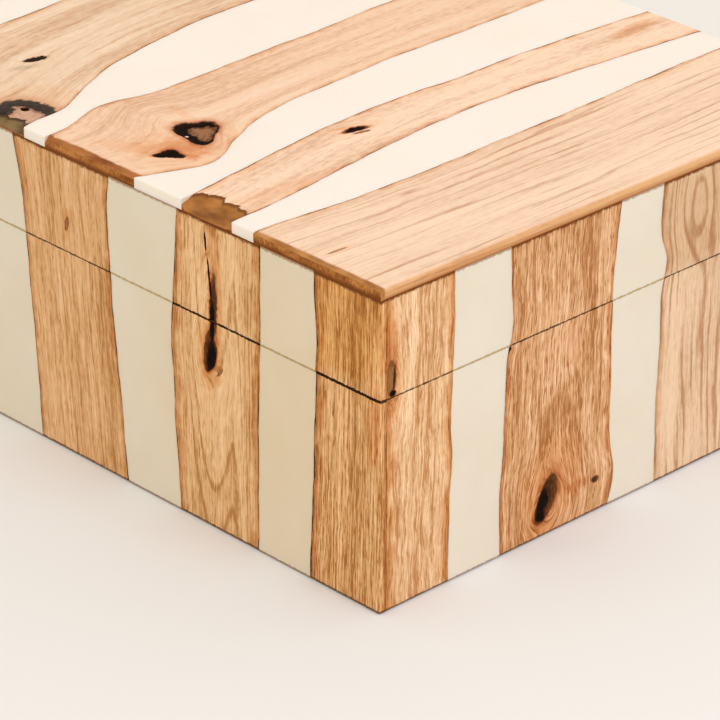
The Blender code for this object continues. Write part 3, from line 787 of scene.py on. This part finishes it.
def fill_mark(tree, given):
    """How far a place is from the mark's middle, in its half sizes, roughened by noise, and from
    that its body, the rim of its body and the halo round it."""
    place = in_millimetres(tree, given["Face"])
    away = put(
        tree, "ShaderNodeVectorMath", {0: place, 1: given["Middle"]}, operation="SUBTRACT"
    ).outputs[0]
    away = put(
        tree, "ShaderNodeVectorRotate", {"Vector": away, "Angle": given["Turn"]},
        rotation_type="Z_AXIS", invert=True,
    ).outputs[0]
    away = put(
        tree, "ShaderNodeVectorMath", {0: away, 1: given["Half Sizes"]}, operation="DIVIDE"
    ).outputs[0]
    reach = put(tree, "ShaderNodeVectorMath", {0: away}, operation="LENGTH").outputs["Value"]
    parts = parts_of(tree, away)
    angle = maths(tree, "ARCTAN2", parts["Y"], parts["X"])
    lobes = maths(tree, "COSINE", maths(tree, "MULTIPLY", angle, 3.0))
    lobes = maths(tree, "ADD", 1.0, maths(tree, "MULTIPLY", lobes, given["Lobes"]))
    reach = maths(tree, "DIVIDE", reach, lobes)
    rough = noise(tree, stretch(tree, place, (0.6, 0.42, 0), 2.0), detail=4, roughness=0.6)
    reach = maths(tree, "ADD", reach, swing(tree, rough, maths(tree, "MULTIPLY", given["Ragged"], 2.0)))
    halo = between(tree, reach, 0.9, given["Halo Reach"], 1.0, 0.0)
    streaks = noise(tree, stretch(tree, place, (1.1, 0.5, 0), 5.0), detail=3, roughness=0.6)
    rim = maths(tree, "ADD", between(tree, reach, 0.5, 1.0), swing(tree, streaks, 4.0), clamp=True)
    body = between(tree, reach, given["Hard Until"], 1.05, 1.0, 0.0)
    return {"Body": body, "Halo": halo, "Rim": rim}


mark_shape = group(
    "Mark in the wood",
    [
        ("Face", VECTOR, None), ("Middle", VECTOR, None), ("Half Sizes", VECTOR, None),
        ("Turn", FLOAT, 0.0), ("Lobes", FLOAT, 0.0), ("Ragged", FLOAT, 0.3),
        ("Halo Reach", FLOAT, 1.6), ("Hard Until", FLOAT, 0.95),
    ],
    [("Body", FLOAT), ("Halo", FLOAT), ("Rim", FLOAT)],
    fill_mark,
)


def fill_handling(tree, given):
    """Soft uneven sheen from sanding and handling: broad clouds with fine scratches in them."""
    place = in_millimetres(tree, given["Position"])
    clouds = noise(tree, place, scale=0.05, detail=3)
    scratches = noise(tree, stretch(tree, place, (0.25, 2.6, 0.25), 3.0), detail=3, roughness=0.7)
    sheen = maths(tree, "ADD", given["Roughness"], swing(tree, clouds, given["Spread"]))
    sheen = maths(tree, "ADD", sheen, maths(tree, "MULTIPLY", scratches, 0.04), clamp=True)
    return {"Roughness": sheen, "Scratches": scratches}


handling = group(
    "Handling",
    [("Position", VECTOR, None), ("Roughness", FLOAT, 0.4), ("Spread", FLOAT, 0.2)],
    [("Roughness", FLOAT), ("Scratches", FLOAT)],
    fill_handling,
)


# ---------------------------------------------------------------- materials


def new_material(name, **plain):
    """A material with its shader's constants set straight on it."""
    made = bpy.data.materials.new(name)
    made.use_nodes = True
    tree = made.node_tree
    shader = tree.nodes["Principled BSDF"]
    for key, value in plain.items():
        shader.inputs[key.replace("_", " ")].default_value = value
    return made, tree, shader


def uv(tree, name):
    return put(tree, "ShaderNodeUVMap", uv_map=name).outputs["UV"]


def mask(tree, name):
    """A strip's mask: how much a break, a rounded edge or a wall shows there."""
    return put(tree, "ShaderNodeAttribute", attribute_name=name).outputs["Fac"]


def own_position(tree):
    return put(tree, "ShaderNodeTexCoord").outputs["Object"]


def raise_surface(tree, shader, height, distance, strength):
    """Gives the shader a bump, whose height is counted in distances."""
    made = put(tree, "ShaderNodeBump", {"Height": height, "Distance": distance, "Strength": strength})
    tree.links.new(made.outputs["Normal"], shader.inputs["Normal"])


# A strip's wood: its dark, plain and light colours, how far apart and how wide its rings are, how
# strong its rings, bands, fibres, flecks and pores are, how far its rings sway and its fibres waver,
# and how wide its glue line, warm edge, end line of stain and painted shade, and saw cut stain are.
# Widths and distances are in millimetres.
Wood = namedtuple(
    "Wood",
    "dark tone light spacing ring_width rings bands fibres flecks pores sway waver line warm ends seam",
)
FRONT_WOOD = Wood(
    dark=(0.46, 0.21, 0.06), tone=(0.745, 0.43, 0.20), light=(0.92, 0.62, 0.36), spacing=4.0,
    ring_width=1.1, rings=0.2, bands=1.1, fibres=1.7, flecks=0.7, pores=0.4, sway=10, waver=1.0,
    line=0.42, warm=2.0, ends=0.9, seam=0.4,
)
TOP_WOOD = Wood(
    dark=(0.60, 0.33, 0.185), tone=(0.86, 0.59, 0.39), light=(0.90, 0.71, 0.52), spacing=6.5,
    ring_width=0.9, rings=0.25, bands=1.2, fibres=0.9, flecks=0.7, pores=0.1, sway=14, waver=1.2,
    line=0.5, warm=1.5, ends=0.0, seam=0.0,
)
WOODS = {
    "front_wood_1": FRONT_WOOD._replace(
        dark=(0.38, 0.14, 0.028), tone=(0.70, 0.375, 0.148), light=(0.94, 0.60, 0.32), spacing=2.6,
        rings=0.15, fibres=3.6, pores=0.65, waver=0.6, line=0.6, warm=3.0, ends=1.0, seam=0.64,
    ),
    "front_wood_2": FRONT_WOOD._replace(
        dark=(0.46, 0.215, 0.06), tone=(0.776, 0.465, 0.22), light=(0.94, 0.64, 0.37), rings=0.45,
        ring_width=0.8, line=0.45, warm=3.0, ends=1.0, seam=0.52, flecks=0.9, pores=0.45,
    ),
    "front_wood_3": FRONT_WOOD._replace(bands=1.2, pores=0.4, fibres=1.7, line=0.42),
    "front_wood_4": FRONT_WOOD,
    "front_wood_5": FRONT_WOOD._replace(tone=(0.70, 0.40, 0.18), spacing=5.0, rings=0.3),
    "right_wood_1": FRONT_WOOD._replace(
        dark=(0.50, 0.22, 0.07), tone=(0.82, 0.52, 0.27), light=(0.97, 0.71, 0.44), spacing=3.4,
        fibres=2.6, pores=0.45, waver=2.6, line=0.2, warm=3.6, seam=0.42,
    ),
    "right_wood_2": FRONT_WOOD._replace(
        dark=(0.40, 0.155, 0.045), tone=(0.66, 0.35, 0.152), light=(0.88, 0.567, 0.336), spacing=5.0,
        rings=0.3, bands=1.7, fibres=2.8, flecks=0.9, pores=0.85, sway=20, waver=1.4, line=0.24,
        warm=2.0, seam=0.42,
    ),
    "right_wood_3": FRONT_WOOD._replace(
        dark=(0.50, 0.26, 0.125), tone=(0.795, 0.56, 0.35), light=(0.90, 0.67, 0.455), spacing=3.6,
        ring_width=1.1, rings=0.5, bands=0.8, fibres=0.9, flecks=0.5, pores=0.15, sway=8, waver=1.6,
        line=0.16, warm=1.2, seam=0.36,
    ),
    "top_wood_1": TOP_WOOD._replace(
        tone=(0.885, 0.64, 0.44), light=(0.93, 0.75, 0.55), spacing=4.2, ring_width=0.6, rings=0.38,
        bands=0.6, fibres=0.7, flecks=0.4, sway=6,
    ),
    "top_wood_2": TOP_WOOD._replace(
        tone=(0.93, 0.66, 0.455), light=(0.94, 0.74, 0.54), rings=0.1, fibres=0.7,
    ),
    "top_wood_3": TOP_WOOD._replace(tone=(0.87, 0.585, 0.38), rings=0.14, line=0.36),
    "top_wood_4": TOP_WOOD._replace(tone=(0.80, 0.57, 0.37), spacing=5.0, rings=0.3, bands=1.6),
    "top_wood_5": TOP_WOOD._replace(tone=(0.80, 0.55, 0.35)),
    "plain_wood_1": FRONT_WOOD,
    "plain_wood_2": FRONT_WOOD._replace(tone=(0.70, 0.40, 0.185), spacing=3.4, rings=0.3, line=0.4),
    "plain_wood_3": FRONT_WOOD._replace(tone=(0.655, 0.355, 0.155), spacing=5.0, sway=20, pores=0.6),
}

# Stains, and painted shade at the strips' ends, on the top's edges and low on the walls: what is laid
# over the wood, and what it is multiplied by
GLUE_BROWN = {"top": (0.22, 0.085, 0.04), "side": (0.03, 0.01, 0.003)}
CUT_BLACK = (0.010, 0.0035, 0.001)
# Glue stain and painted shade: the dark brown line under the top and at the foot
END_STAIN_AND_SHADE = (0.17, 0.045, 0.005)
WARM_EDGE = {"top": (0.86, 0.62, 0.42), "side": (0.74, 0.5, 0.28)}
# Painted shade: the top's rounded edges and edge walls, darker and warmer
TOP_EDGE_SHADE = (0.82, 0.62, 0.40)
# Painted shade: darker towards the foot of every wall and on the underside
LOW_WALL_SHADE = (0.5, 0.27, 0.1)
END_GRAIN_PIT = (0.07, 0.03, 0.012)

# Resin: its specks, smudges, the stains where it meets the glue, the wood and the saw cut, the stain
# and painted shade where it meets the top, and the painted warm shade near the front right corner
RESIN_SPECK = (0.42, 0.30, 0.18)
RESIN_SMUDGE = (0.42, 0.33, 0.25)
RESIN_GLUE = (0.22, 0.11, 0.045)
RESIN_BY_WOOD = (0.62, 0.42, 0.22)
RESIN_CUT = (0.50, 0.34, 0.12)
RESIN_END_STAIN_AND_SHADE = (0.30, 0.13, 0.035)
# Painted warm shade near the front right corner
CORNER_WARM_SHADE = (0.985, 0.92, 0.82)

# Broken wood: dark and light colours, and how strong the dark rim of the break is
BREAK_COLOURS = {
    "top_wood_1": ((0.30, 0.105, 0.022), (0.60, 0.285, 0.09), 0.15),
    "top_wood_2": ((0.15, 0.045, 0.007), (0.50, 0.205, 0.05), 0.85),
    "top_wood_3": ((0.22, 0.055, 0.008), (0.58, 0.23, 0.06), 0.3),
    "top_wood_4": ((0.05, 0.025, 0.012), (0.32, 0.20, 0.085), 0.85),
}


def painted_marks(tree, face, name, colour, height, rough):
    """The wood's colour, height and added roughness with its marks laid on, one over the other."""
    for mark in MARKS.get(name, []):
        heart, rim, shown, halo_colour, halo_reach, halo_strength = MARK_FINISHES[mark.finish]
        shape = place_group(tree, mark_shape, {
            "Face": face, "Middle": (mark.across, mark.along, 0),
            "Half Sizes": (mark.half_across, mark.half_along, 1),
            "Turn": math.radians(mark.turn), "Lobes": mark.lobes, "Ragged": mark.ragged,
            "Halo Reach": halo_reach, "Hard Until": 0.9 if shown > 0.5 else 0.2,
        })
        halo = maths(tree, "MULTIPLY", shape["Halo"], halo_strength)
        colour = tint(tree, halo, colour, halo_colour)
        body_colour = blend(tree, shape["Rim"], opaque(heart), opaque(rim))
        colour = blend(tree, maths(tree, "MULTIPLY", shape["Body"], shown), colour, body_colour)
        if mark.sunk:
            height = maths(tree, "SUBTRACT", height, shape["Body"])
            rough = maths(tree, "MAXIMUM", rough, maths(tree, "MULTIPLY", shape["Body"], 0.5))
    return colour, height, rough


def broken_wood(tree, face, colour, name):
    """The colour with breaks in it: rough brown with torn streaks, darker at the rim."""
    chip = mask(tree, "chip")
    torn = noise(tree, stretch(tree, face, (90, 160, 0), 6.0), detail=5, roughness=0.45)
    dark, light, rim_strength = BREAK_COLOURS[name]
    broken = blend(tree, between(tree, torn, 0.25, 0.7), opaque(dark), opaque(light))
    broken = cover(tree, between(tree, chip, 0.3, 0.9, rim_strength, 0.0), broken, dark)
    return blend(tree, between(tree, chip, 0.0, 0.2), colour, broken)


def wood_material(name, seed):
    """Sanded and waxed hardwood: the wood's own figure, warmer beside the joints, then its marks, the
    dark line at its ends that is glue stain and painted shade, the stains at its joints and saw cut,
    painted shade on the top's rounded edges and towards the foot of each wall, and the rough colour of
    any break."""
    kind = WOODS[name]
    made, tree, shader = new_material(name, Specular_IOR_Level=0.07)
    face = uv(tree, "face")
    figure = place_group(tree, wood_figure, {
        "Grain": uv(tree, "grain"), "Rings At": uv(tree, "rings"), "Seed": seed,
        "Dark": opaque(kind.dark), "Tone": opaque(kind.tone), "Light": opaque(kind.light),
        "Ring Spacing": kind.spacing, "Ring Width": kind.ring_width, "Rings": kind.rings,
        "Bands": kind.bands, "Fibres": kind.fibres, "Flecks": kind.flecks, "Pores": kind.pores,
        "Sway": kind.sway, "Waver": kind.waver,
    })
    joint = place_group(tree, joint_line, {
        "Edges": uv(tree, "edges"), "Face": face, "Seed": seed, "Line": kind.line,
        "Warm": kind.warm, "Ends": kind.ends, "Seam": kind.seam, "Seam Level": SEAM / MM,
    })
    side = "top" if name.startswith("top") else "side"
    colour = tint(tree, joint["Warmth"], figure["Color"], WARM_EDGE[side])
    rough = maths(tree, "MULTIPLY", figure["Pores"], 0.25)
    colour, height, rough = painted_marks(tree, face, name, colour, figure["Height"], rough)
    if side == "side":
        # The dark line at the strip's end: glue stain and painted shade, under the top or at the foot
        colour = cover(tree, joint["End"], colour, END_STAIN_AND_SHADE)
    colour = cover(tree, maths(tree, "MULTIPLY", joint["Line"], 0.9), colour, GLUE_BROWN[side])
    cut_strength = 1.0 if kind.seam > WIDE_STAIN_MM else 0.82
    colour = cover(tree, maths(tree, "MULTIPLY", joint["Cut"], cut_strength), colour, CUT_BLACK)
    if side == "top":
        # Painted shade on the top's rounded edges and walls
        colour = tint(tree, mask(tree, "edge"), colour, TOP_EDGE_SHADE)
    # Painted shade: darker towards the foot of each wall and on the underside
    colour = tint(tree, maths(tree, "POWER", mask(tree, "below"), 2.5), colour, LOW_WALL_SHADE)
    if name in TOP_BREAKS:
        colour = broken_wood(tree, face, colour, name)
    tree.links.new(colour, shader.inputs["Base Color"])
    sheen = place_group(tree, handling, {
        "Position": own_position(tree), "Roughness": 0.42, "Spread": 0.14,
    })
    roughness = maths(tree, "ADD", sheen["Roughness"], rough, clamp=True)
    tree.links.new(roughness, shader.inputs["Roughness"])
    raise_surface(tree, shader, height, 0.04 * MM, 0.5)
    return made


def end_grain_material(name, dark, light):
    """Wood cut across: close short lines that lean and bend, with dark pits between them."""
    made, tree, shader = new_material(name, Specular_IOR_Level=0.08, Roughness=0.7)
    face = uv(tree, "face")
    place = in_millimetres(tree, face)
    patches = noise(tree, stretch(tree, place, (0.09, 0.2, 0), 1.0), detail=3)
    rays = noise(tree, stretch(tree, place, (1.5, 0.5, 0), 5.0), detail=4, roughness=0.65)
    pits = noise(tree, stretch(tree, place, (3.0, 2.2, 0), 8.0), detail=2)
    tone = maths(tree, "MULTIPLY", patches, 0.7)
    tone = maths(tree, "ADD", tone, maths(tree, "MULTIPLY", rays, 0.6))
    colour = blend(tree, between(tree, tone, 0.46, 0.84), opaque(dark), opaque(light))
    colour = cover(tree, between(tree, pits, 0.6, 0.74, 0.0, 0.6), colour, END_GRAIN_PIT)
    joint = place_group(tree, joint_line, {
        "Edges": uv(tree, "edges"), "Face": face, "Seed": 3.0,
        "Line": 0.4, "Warm": 1.6, "Ends": 0.0, "Seam": 0.0,
    })
    colour = cover(tree, maths(tree, "MULTIPLY", joint["Line"], 0.9), colour, GLUE_BROWN["side"])
    # Painted shade: the lower part of the end grain band, under the top
    lower_shade = between(tree, mask(tree, "below"), 0.45, 0.9, 0.0, 0.85)
    colour = cover(tree, lower_shade, colour, END_STAIN_AND_SHADE)
    tree.links.new(colour, shader.inputs["Base Color"])
    raise_surface(tree, shader, rays, 0.06 * MM, 0.6)
    return made


def resin_material(name, tone, cloud, seam):
    """Cast ivory resin: faint clouds, rare specks and smudges, a soft tan line where it meets wood.
    With a seam it is a side's: stained at the saw cut, darkened at its outer end by stain and painted
    shade, and tinted darker and warmer near the front right corner as painted shade."""
    made, tree, shader = new_material(
        name, Subsurface_Weight=0.25, Subsurface_Scale=0.004, Specular_IOR_Level=0.45,
        Subsurface_Radius=(1.0, 0.75, 0.5),
    )
    position = own_position(tree)
    place = in_millimetres(tree, position)
    haze = noise(tree, place, scale=0.045, detail=4, roughness=0.55)
    colour = blend(tree, between(tree, haze, 0.3, 0.75), opaque(tone), opaque(cloud))
    specks = noise(tree, place, scale=0.8, detail=2)
    colour = cover(tree, between(tree, specks, 0.73, 0.8, 0.0, 0.4), colour, RESIN_SPECK)
    smudges = noise(tree, place, scale=0.11, detail=5, roughness=0.7)
    colour = cover(tree, between(tree, smudges, 0.66, 0.8, 0.0, 0.16), colour, RESIN_SMUDGE)
    joint = place_group(tree, joint_line, {
        "Edges": uv(tree, "edges"), "Face": uv(tree, "face"), "Seed": 7.0,
        "Line": 0.12, "Warm": 0.35, "Ends": 0.75, "Seam": seam, "Seam Level": SEAM / MM,
    })
    colour = cover(tree, maths(tree, "MULTIPLY", joint["Line"], 0.4), colour, RESIN_GLUE)
    colour = cover(tree, maths(tree, "MULTIPLY", joint["Warmth"], 0.3), colour, RESIN_BY_WOOD)
    colour = cover(tree, maths(tree, "MULTIPLY", joint["Cut"], 0.9), colour, RESIN_CUT)
    if seam:
        # The dark line at the outer end: glue stain and painted shade
        colour = cover(tree, maths(tree, "MULTIPLY", joint["End"], 0.8), colour, RESIN_END_STAIN_AND_SHADE)
        # Painted warm shade: darker and warmer near the front right corner
        near_corner = (RIGHT / MM - 40, FRONT / MM - 30, 50)
        away = put(
            tree, "ShaderNodeVectorMath", {0: place, 1: near_corner}, operation="DISTANCE"
        ).outputs["Value"]
        colour = tint(tree, between(tree, away, 30, 85, 1.0, 0.0), colour, CORNER_WARM_SHADE)
    tree.links.new(colour, shader.inputs["Base Color"])
    sheen = place_group(tree, handling, {"Position": position, "Roughness": 0.3, "Spread": 0.12})
    tree.links.new(sheen["Roughness"], shader.inputs["Roughness"])
    raise_surface(tree, shader, sheen["Scratches"], 0.01 * MM, 0.25)
    return made


def board_material():
    """The carcass: fine brown board, sanded and sealed, with a soft fibre along it and dark
    flecks."""
    made, tree, shader = new_material("carcass_board", Specular_IOR_Level=0.35)
    position = own_position(tree)
    place = in_millimetres(tree, position)
    fibre = noise(tree, stretch(tree, place, (0.35, 1.8, 1.8), 0.0), detail=5, roughness=0.65)
    clouds = noise(tree, place, scale=0.03, detail=3)
    fleck = noise(tree, place, scale=1.3, detail=3, roughness=0.7)
    mixed = maths(tree, "MULTIPLY", fibre, 0.85)
    mixed = maths(tree, "ADD", mixed, maths(tree, "MULTIPLY", clouds, 0.2))
    dark, light, speck = (0.23, 0.125, 0.06), (0.40, 0.24, 0.125), (0.13, 0.065, 0.03)
    colour = blend(tree, between(tree, mixed, 0.4, 0.72), opaque(dark), opaque(light))
    colour = cover(tree, between(tree, fleck, 0.6, 0.72, 0.0, 0.45), colour, speck)
    tree.links.new(colour, shader.inputs["Base Color"])
    sheen = place_group(tree, handling, {"Position": position, "Roughness": 0.55, "Spread": 0.16})
    tree.links.new(sheen["Roughness"], shader.inputs["Roughness"])
    raise_surface(tree, shader, fleck, 0.06 * MM, 0.5)
    return made


def brass_material():
    """Plain rolled brass: drawn lines along the leaf, with a little brown tarnish."""
    made, tree, shader = new_material("hinge_brass", Metallic=1.0)
    place = in_millimetres(tree, own_position(tree))
    drawn = noise(tree, stretch(tree, place, (0.35, 9.0, 9.0), 0.0), detail=4, roughness=0.7)
    tarnish = noise(tree, place, scale=0.45, detail=4, roughness=0.6)
    clean, brown = (0.80, 0.58, 0.25), (0.50, 0.31, 0.11)
    colour = blend(tree, between(tree, tarnish, 0.42, 0.75), opaque(clean), opaque(brown))
    tree.links.new(colour, shader.inputs["Base Color"])
    roughness = maths(tree, "ADD", 0.2, maths(tree, "MULTIPLY", tarnish, 0.3))
    tree.links.new(roughness, shader.inputs["Roughness"])
    raise_surface(tree, shader, drawn, 0.02 * MM, 0.4)
    return made


def felt_material():
    """Dark brown felt: matted short hairs."""
    made, tree, shader = new_material(
        "underside_felt", Roughness=0.95, Specular_IOR_Level=0.1, Sheen_Weight=0.05,
    )
    place = in_millimetres(tree, own_position(tree))
    hairs = noise(tree, place, scale=2.2, detail=6, roughness=0.75)
    matting = noise(tree, place, scale=0.12, detail=3)
    mixed = maths(tree, "MULTIPLY", hairs, 0.7)
    mixed = maths(tree, "ADD", mixed, maths(tree, "MULTIPLY", matting, 0.3))
    dark, light = (0.028, 0.014, 0.008), (0.10, 0.055, 0.03)
    colour = blend(tree, between(tree, mixed, 0.35, 0.7), opaque(dark), opaque(light))
    tree.links.new(colour, shader.inputs["Base Color"])
    raise_surface(tree, shader, hairs, 0.25 * MM, 0.8)
    return made


def floor_material():
    """Pale warm paper with the faintest mottling."""
    made, tree, shader = new_material("floor", Roughness=0.75, Specular_IOR_Level=0.2)
    haze = noise(tree, own_position(tree), scale=6.0, detail=3)
    colour = blend(tree, haze, opaque((0.82, 0.815, 0.755)), opaque((0.84, 0.835, 0.775)))
    tree.links.new(colour, shader.inputs["Base Color"])
    return made


woods = {name: wood_material(name, 3.7 * index) for index, name in enumerate(WOODS)}
top_end_grain = end_grain_material("top_end_grain", (0.22, 0.055, 0.007), (0.62, 0.26, 0.065))
side_end_grain = end_grain_material("side_end_grain", (0.20, 0.10, 0.04), (0.46, 0.27, 0.12))
top_resin = resin_material("ivory_resin_top", (0.93, 0.83, 0.72), (0.91, 0.805, 0.685), 0.0)
# The sides' resin is the top's resin made darker, as painted shade
shaded_side_resin = resin_material("ivory_resin_shaded_side", (0.79, 0.705, 0.565), (0.765, 0.67, 0.51), 0.5)


# ---------------------------------------------------------------- strips


def edge_pair(levels, lines, index, seed, shift=0.0):
    """Gives a strip's two edges at any rows. A line shared by two strips has the same ripple and
    shift for both, and the box's own outer edges stay straight."""
    def edges(rows):
        pair = []
        for line in (index, index + 1):
            edge = smooth(levels, lines[line], rows)
            if 0 < line < len(lines) - 1:
                edge = edge + 0.6 * ripple(rows, seed + line) + shift * math.sin(line * 2.1 + seed)
            pair.append(edge)
        return pair
    return edges


def finish_strip(piece, body, replaced):
    """Hangs a strip on its body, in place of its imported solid."""
    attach(piece, body)
    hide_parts(replaced)


def top_strips():
    """The top's strips. The two outer ones are rounded a little more along the box's sides."""
    count = 9
    names = [f"top_{kind}_{number}" for kind, number in kinds(count)]
    levels, lines = solid_edges(TOP_FACE, names)
    for index, (kind, number) in enumerate(kinds(count)):
        name = names[index]
        free = (1.3 * (index == 0), 1.3 * (index == count - 1), 0.4, 0.4)
        detailed = name in ("top_wood_2", "top_wood_3", "top_wood_4")
        step = FINE_TOP_STEP if detailed else TOP_STEP
        rows = spaced(0, DEPTH, step, 0.4 * SOFT_EDGE)
        materials = [woods[name], top_end_grain] if kind == "wood" else [top_resin]
        piece = strip(
            f"{name}_strip", TOP_FACE, edge_pair(levels, lines, index, 100), rows, 1.4 * step,
            TOP - UNDER_TOP, free, SOFT_EDGE, materials, MARKS.get(name, ()), TOP_BREAKS.get(name, ()),
        )
        finish_strip(piece, "lid", name)


def side_strips(face, side, levels, lines, seed, wood_of, replaced, ends_free, notch=None):
    """The strips of one side, base and lid: wood_of names a strip's wood, replaced names the solid
    that it stands for, and ends_free says whether the side's outer strips end at its corners."""
    count = len(lines) - 1
    for half in ("base", "lid"):
        for index, (kind, number) in enumerate(kinds(count)):
            wood_name = wood_of(number)
            wide = kind == "wood" and WOODS[wood_name].seam > WIDE_STAIN_MM
            gap = WIDE_GAP if wide else CLOSE_GAP
            low, high = STRIP_FOOT, SEAM - gap
            if half == "lid":
                low, high = SEAM + gap, UNDER_TOP - CLOSE_GAP
            marks = MARKS.get(wood_name, ()) if kind == "wood" else ()
            rows = spaced(low, high, SIDE_STEP, SAWN_EDGE)
            free = (
                ends_free and index == 0, ends_free and index == count - 1, True, half == "base",
            )
            edges = edge_pair(levels, lines, index, seed, LID_SHIFT if half == "lid" else 0.0)
            materials = [woods[wood_name], side_end_grain] if kind == "wood" else [shaded_side_resin]
            piece = strip(
                f"{side}_{half}_{kind}_{number}_strip", face, edges, rows,
                SIDE_STEP if marks else 2 * SIDE_STEP, SHEET, free,
                SAWN_EDGE if kind == "wood" else RESIN_EDGE, materials, marks, (), notch,
                ARCHES.get(wood_name) if kind == "wood" else None,
            )
            finish_strip(piece, half, replaced(half, kind, number))


def hinge_notch(across):
    """How far the back strips stay clear of the seam: past the leaf where a hinge lies, and not at
    all elsewhere."""
    clear = np.zeros_like(across)
    for side in ("left", "right"):
        low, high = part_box(f"{side}_hinge_base_leaf")
        first, last = RIGHT - high.x - 0.3 * MM, RIGHT - low.x + 0.3 * MM
        inside = (across > first) & (across < last)
        clear = np.where(inside, SEAM - low.z + 0.2 * MM, clear)
    return clear


def named(side):
    """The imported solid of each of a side's strips."""
    return lambda half, kind, number: f"{side}_{half}_{kind}_{number}"


def sheet_of(side):
    """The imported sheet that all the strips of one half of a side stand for."""
    return lambda half, kind, number: f"{side}_{half}_sheet"


def plain_wood(number):
    """Three woods in turn, for the sides without marks of their own."""
    return f"plain_wood_{(number - 1) % 3 + 1}"


def own_wood(side):
    """Each strip's own wood."""
    return lambda number: f"{side}_wood_{number}"


def all_sides():
    """Front and back run corner to corner, and the right and left ends lie between them."""
    levels, lines = side_edges(FRONT_FACE, "front", 9)
    side_strips(FRONT_FACE, "front", levels, lines, 200, own_wood("front"), named("front"), True)
    levels, lines = side_edges(RIGHT_FACE, "right", 6)
    lines[0] = SHEET
    lines[-1] = DEPTH - SHEET
    side_strips(RIGHT_FACE, "right", levels, lines, 300, own_wood("right"), named("right"), False)
    levels, lines = drawn_edges(SHEET, DEPTH - SHEET, (27, 22, 44, 23, 38, 20, 26), 5)
    side_strips(LEFT_FACE, "left", levels, lines, 400, plain_wood, sheet_of("left"), False)
    levels, lines = drawn_edges(0, WIDTH, (35, 25, 44, 26, 40, 24, 42, 23, 41), 9)
    side_strips(BACK_FACE, "back", levels, lines, 500, plain_wood, sheet_of("back"), True, hinge_notch)


def paint(node, material):
    """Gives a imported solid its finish."""
    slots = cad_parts[node].data.materials
    slots.clear()
    slots.append(material)


def shown_solids():
    """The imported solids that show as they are: the hinges, the carcass and the felt."""
    board, brass, felt = board_material(), brass_material(), felt_material()
    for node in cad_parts:
        if "hinge" in node:
            paint(node, brass)
    paint("base_carcass", board)
    paint("lid_carcass", board)
    paint("base_felt", felt)


# ---------------------------------------------------------------- stage, light and camera

# From the box's near bottom corner to the camera, and the camera's own axes
CAMERA_AWAY = (0.70408, -0.68003, 0.57587)
CAMERA_FORWARD = (-0.64525, 0.61614, -0.45169)
CAMERA_RIGHT = (0.68992, 0.72388, 0.00187)
CAMERA_LENS = 202.1
SENSOR = 36.0


def camera():
    """A long lens, a metre or so off the near corner and above it."""
    data = bpy.data.cameras.new("camera")
    data.lens = CAMERA_LENS
    data.sensor_width = SENSOR
    data.clip_end = 50
    made = bpy.data.objects.new("camera", data)
    bpy.context.scene.collection.objects.link(made)
    back = -Vector(CAMERA_FORWARD).normalized()
    right = Vector(CAMERA_RIGHT).normalized()
    up = back.cross(right).normalized()
    turn = Matrix((right, up, back)).transposed()
    place = Vector((RIGHT, FRONT, 0)) + Vector(CAMERA_AWAY)
    made.matrix_world = Matrix.Translation(place) @ turn.to_4x4()
    bpy.context.scene.camera = made


def floor():
    """One flat sheet, twelve metres across."""
    mesh = bpy.data.meshes.new("floor")
    half = 6.0
    corners = [(-half, -half, 0), (half, -half, 0), (half, half, 0), (-half, half, 0)]
    mesh.from_pydata(corners, [], [(0, 1, 2, 3)])
    mesh.materials.append(floor_material())
    made = bpy.data.objects.new("floor", mesh)
    bpy.context.scene.collection.objects.link(made)


def soft_box(name, place, aim, size, power, colour):
    """A square lamp that faces the place it is aimed at."""
    data = bpy.data.lights.new(name, "AREA")
    data.shape = "SQUARE"
    data.size = size
    data.energy = power
    data.color = colour
    made = bpy.data.objects.new(name, data)
    made.location = place
    made.rotation_euler = (Vector(aim) - Vector(place)).to_track_quat("-Z", "Y").to_euler()
    bpy.context.scene.collection.objects.link(made)


def lights():
    """Warm light from all round, and a large cooler window up to the right."""
    world = bpy.data.worlds.new("studio")
    world.use_nodes = True
    background = world.node_tree.nodes["Background"]
    background.inputs["Color"].default_value = (1.0, 0.925, 0.806, 1)
    background.inputs["Strength"].default_value = 0.93
    bpy.context.scene.world = world
    soft_box("window", (1.75, -0.3, 1.85), (0, 0, 0.05), 1.5, 29, (0.6, 0.68, 1.0))


top_strips()
all_sides()
shown_solids()
floor()
lights()
camera()
bpy.context.scene.view_settings.view_transform = "Standard"
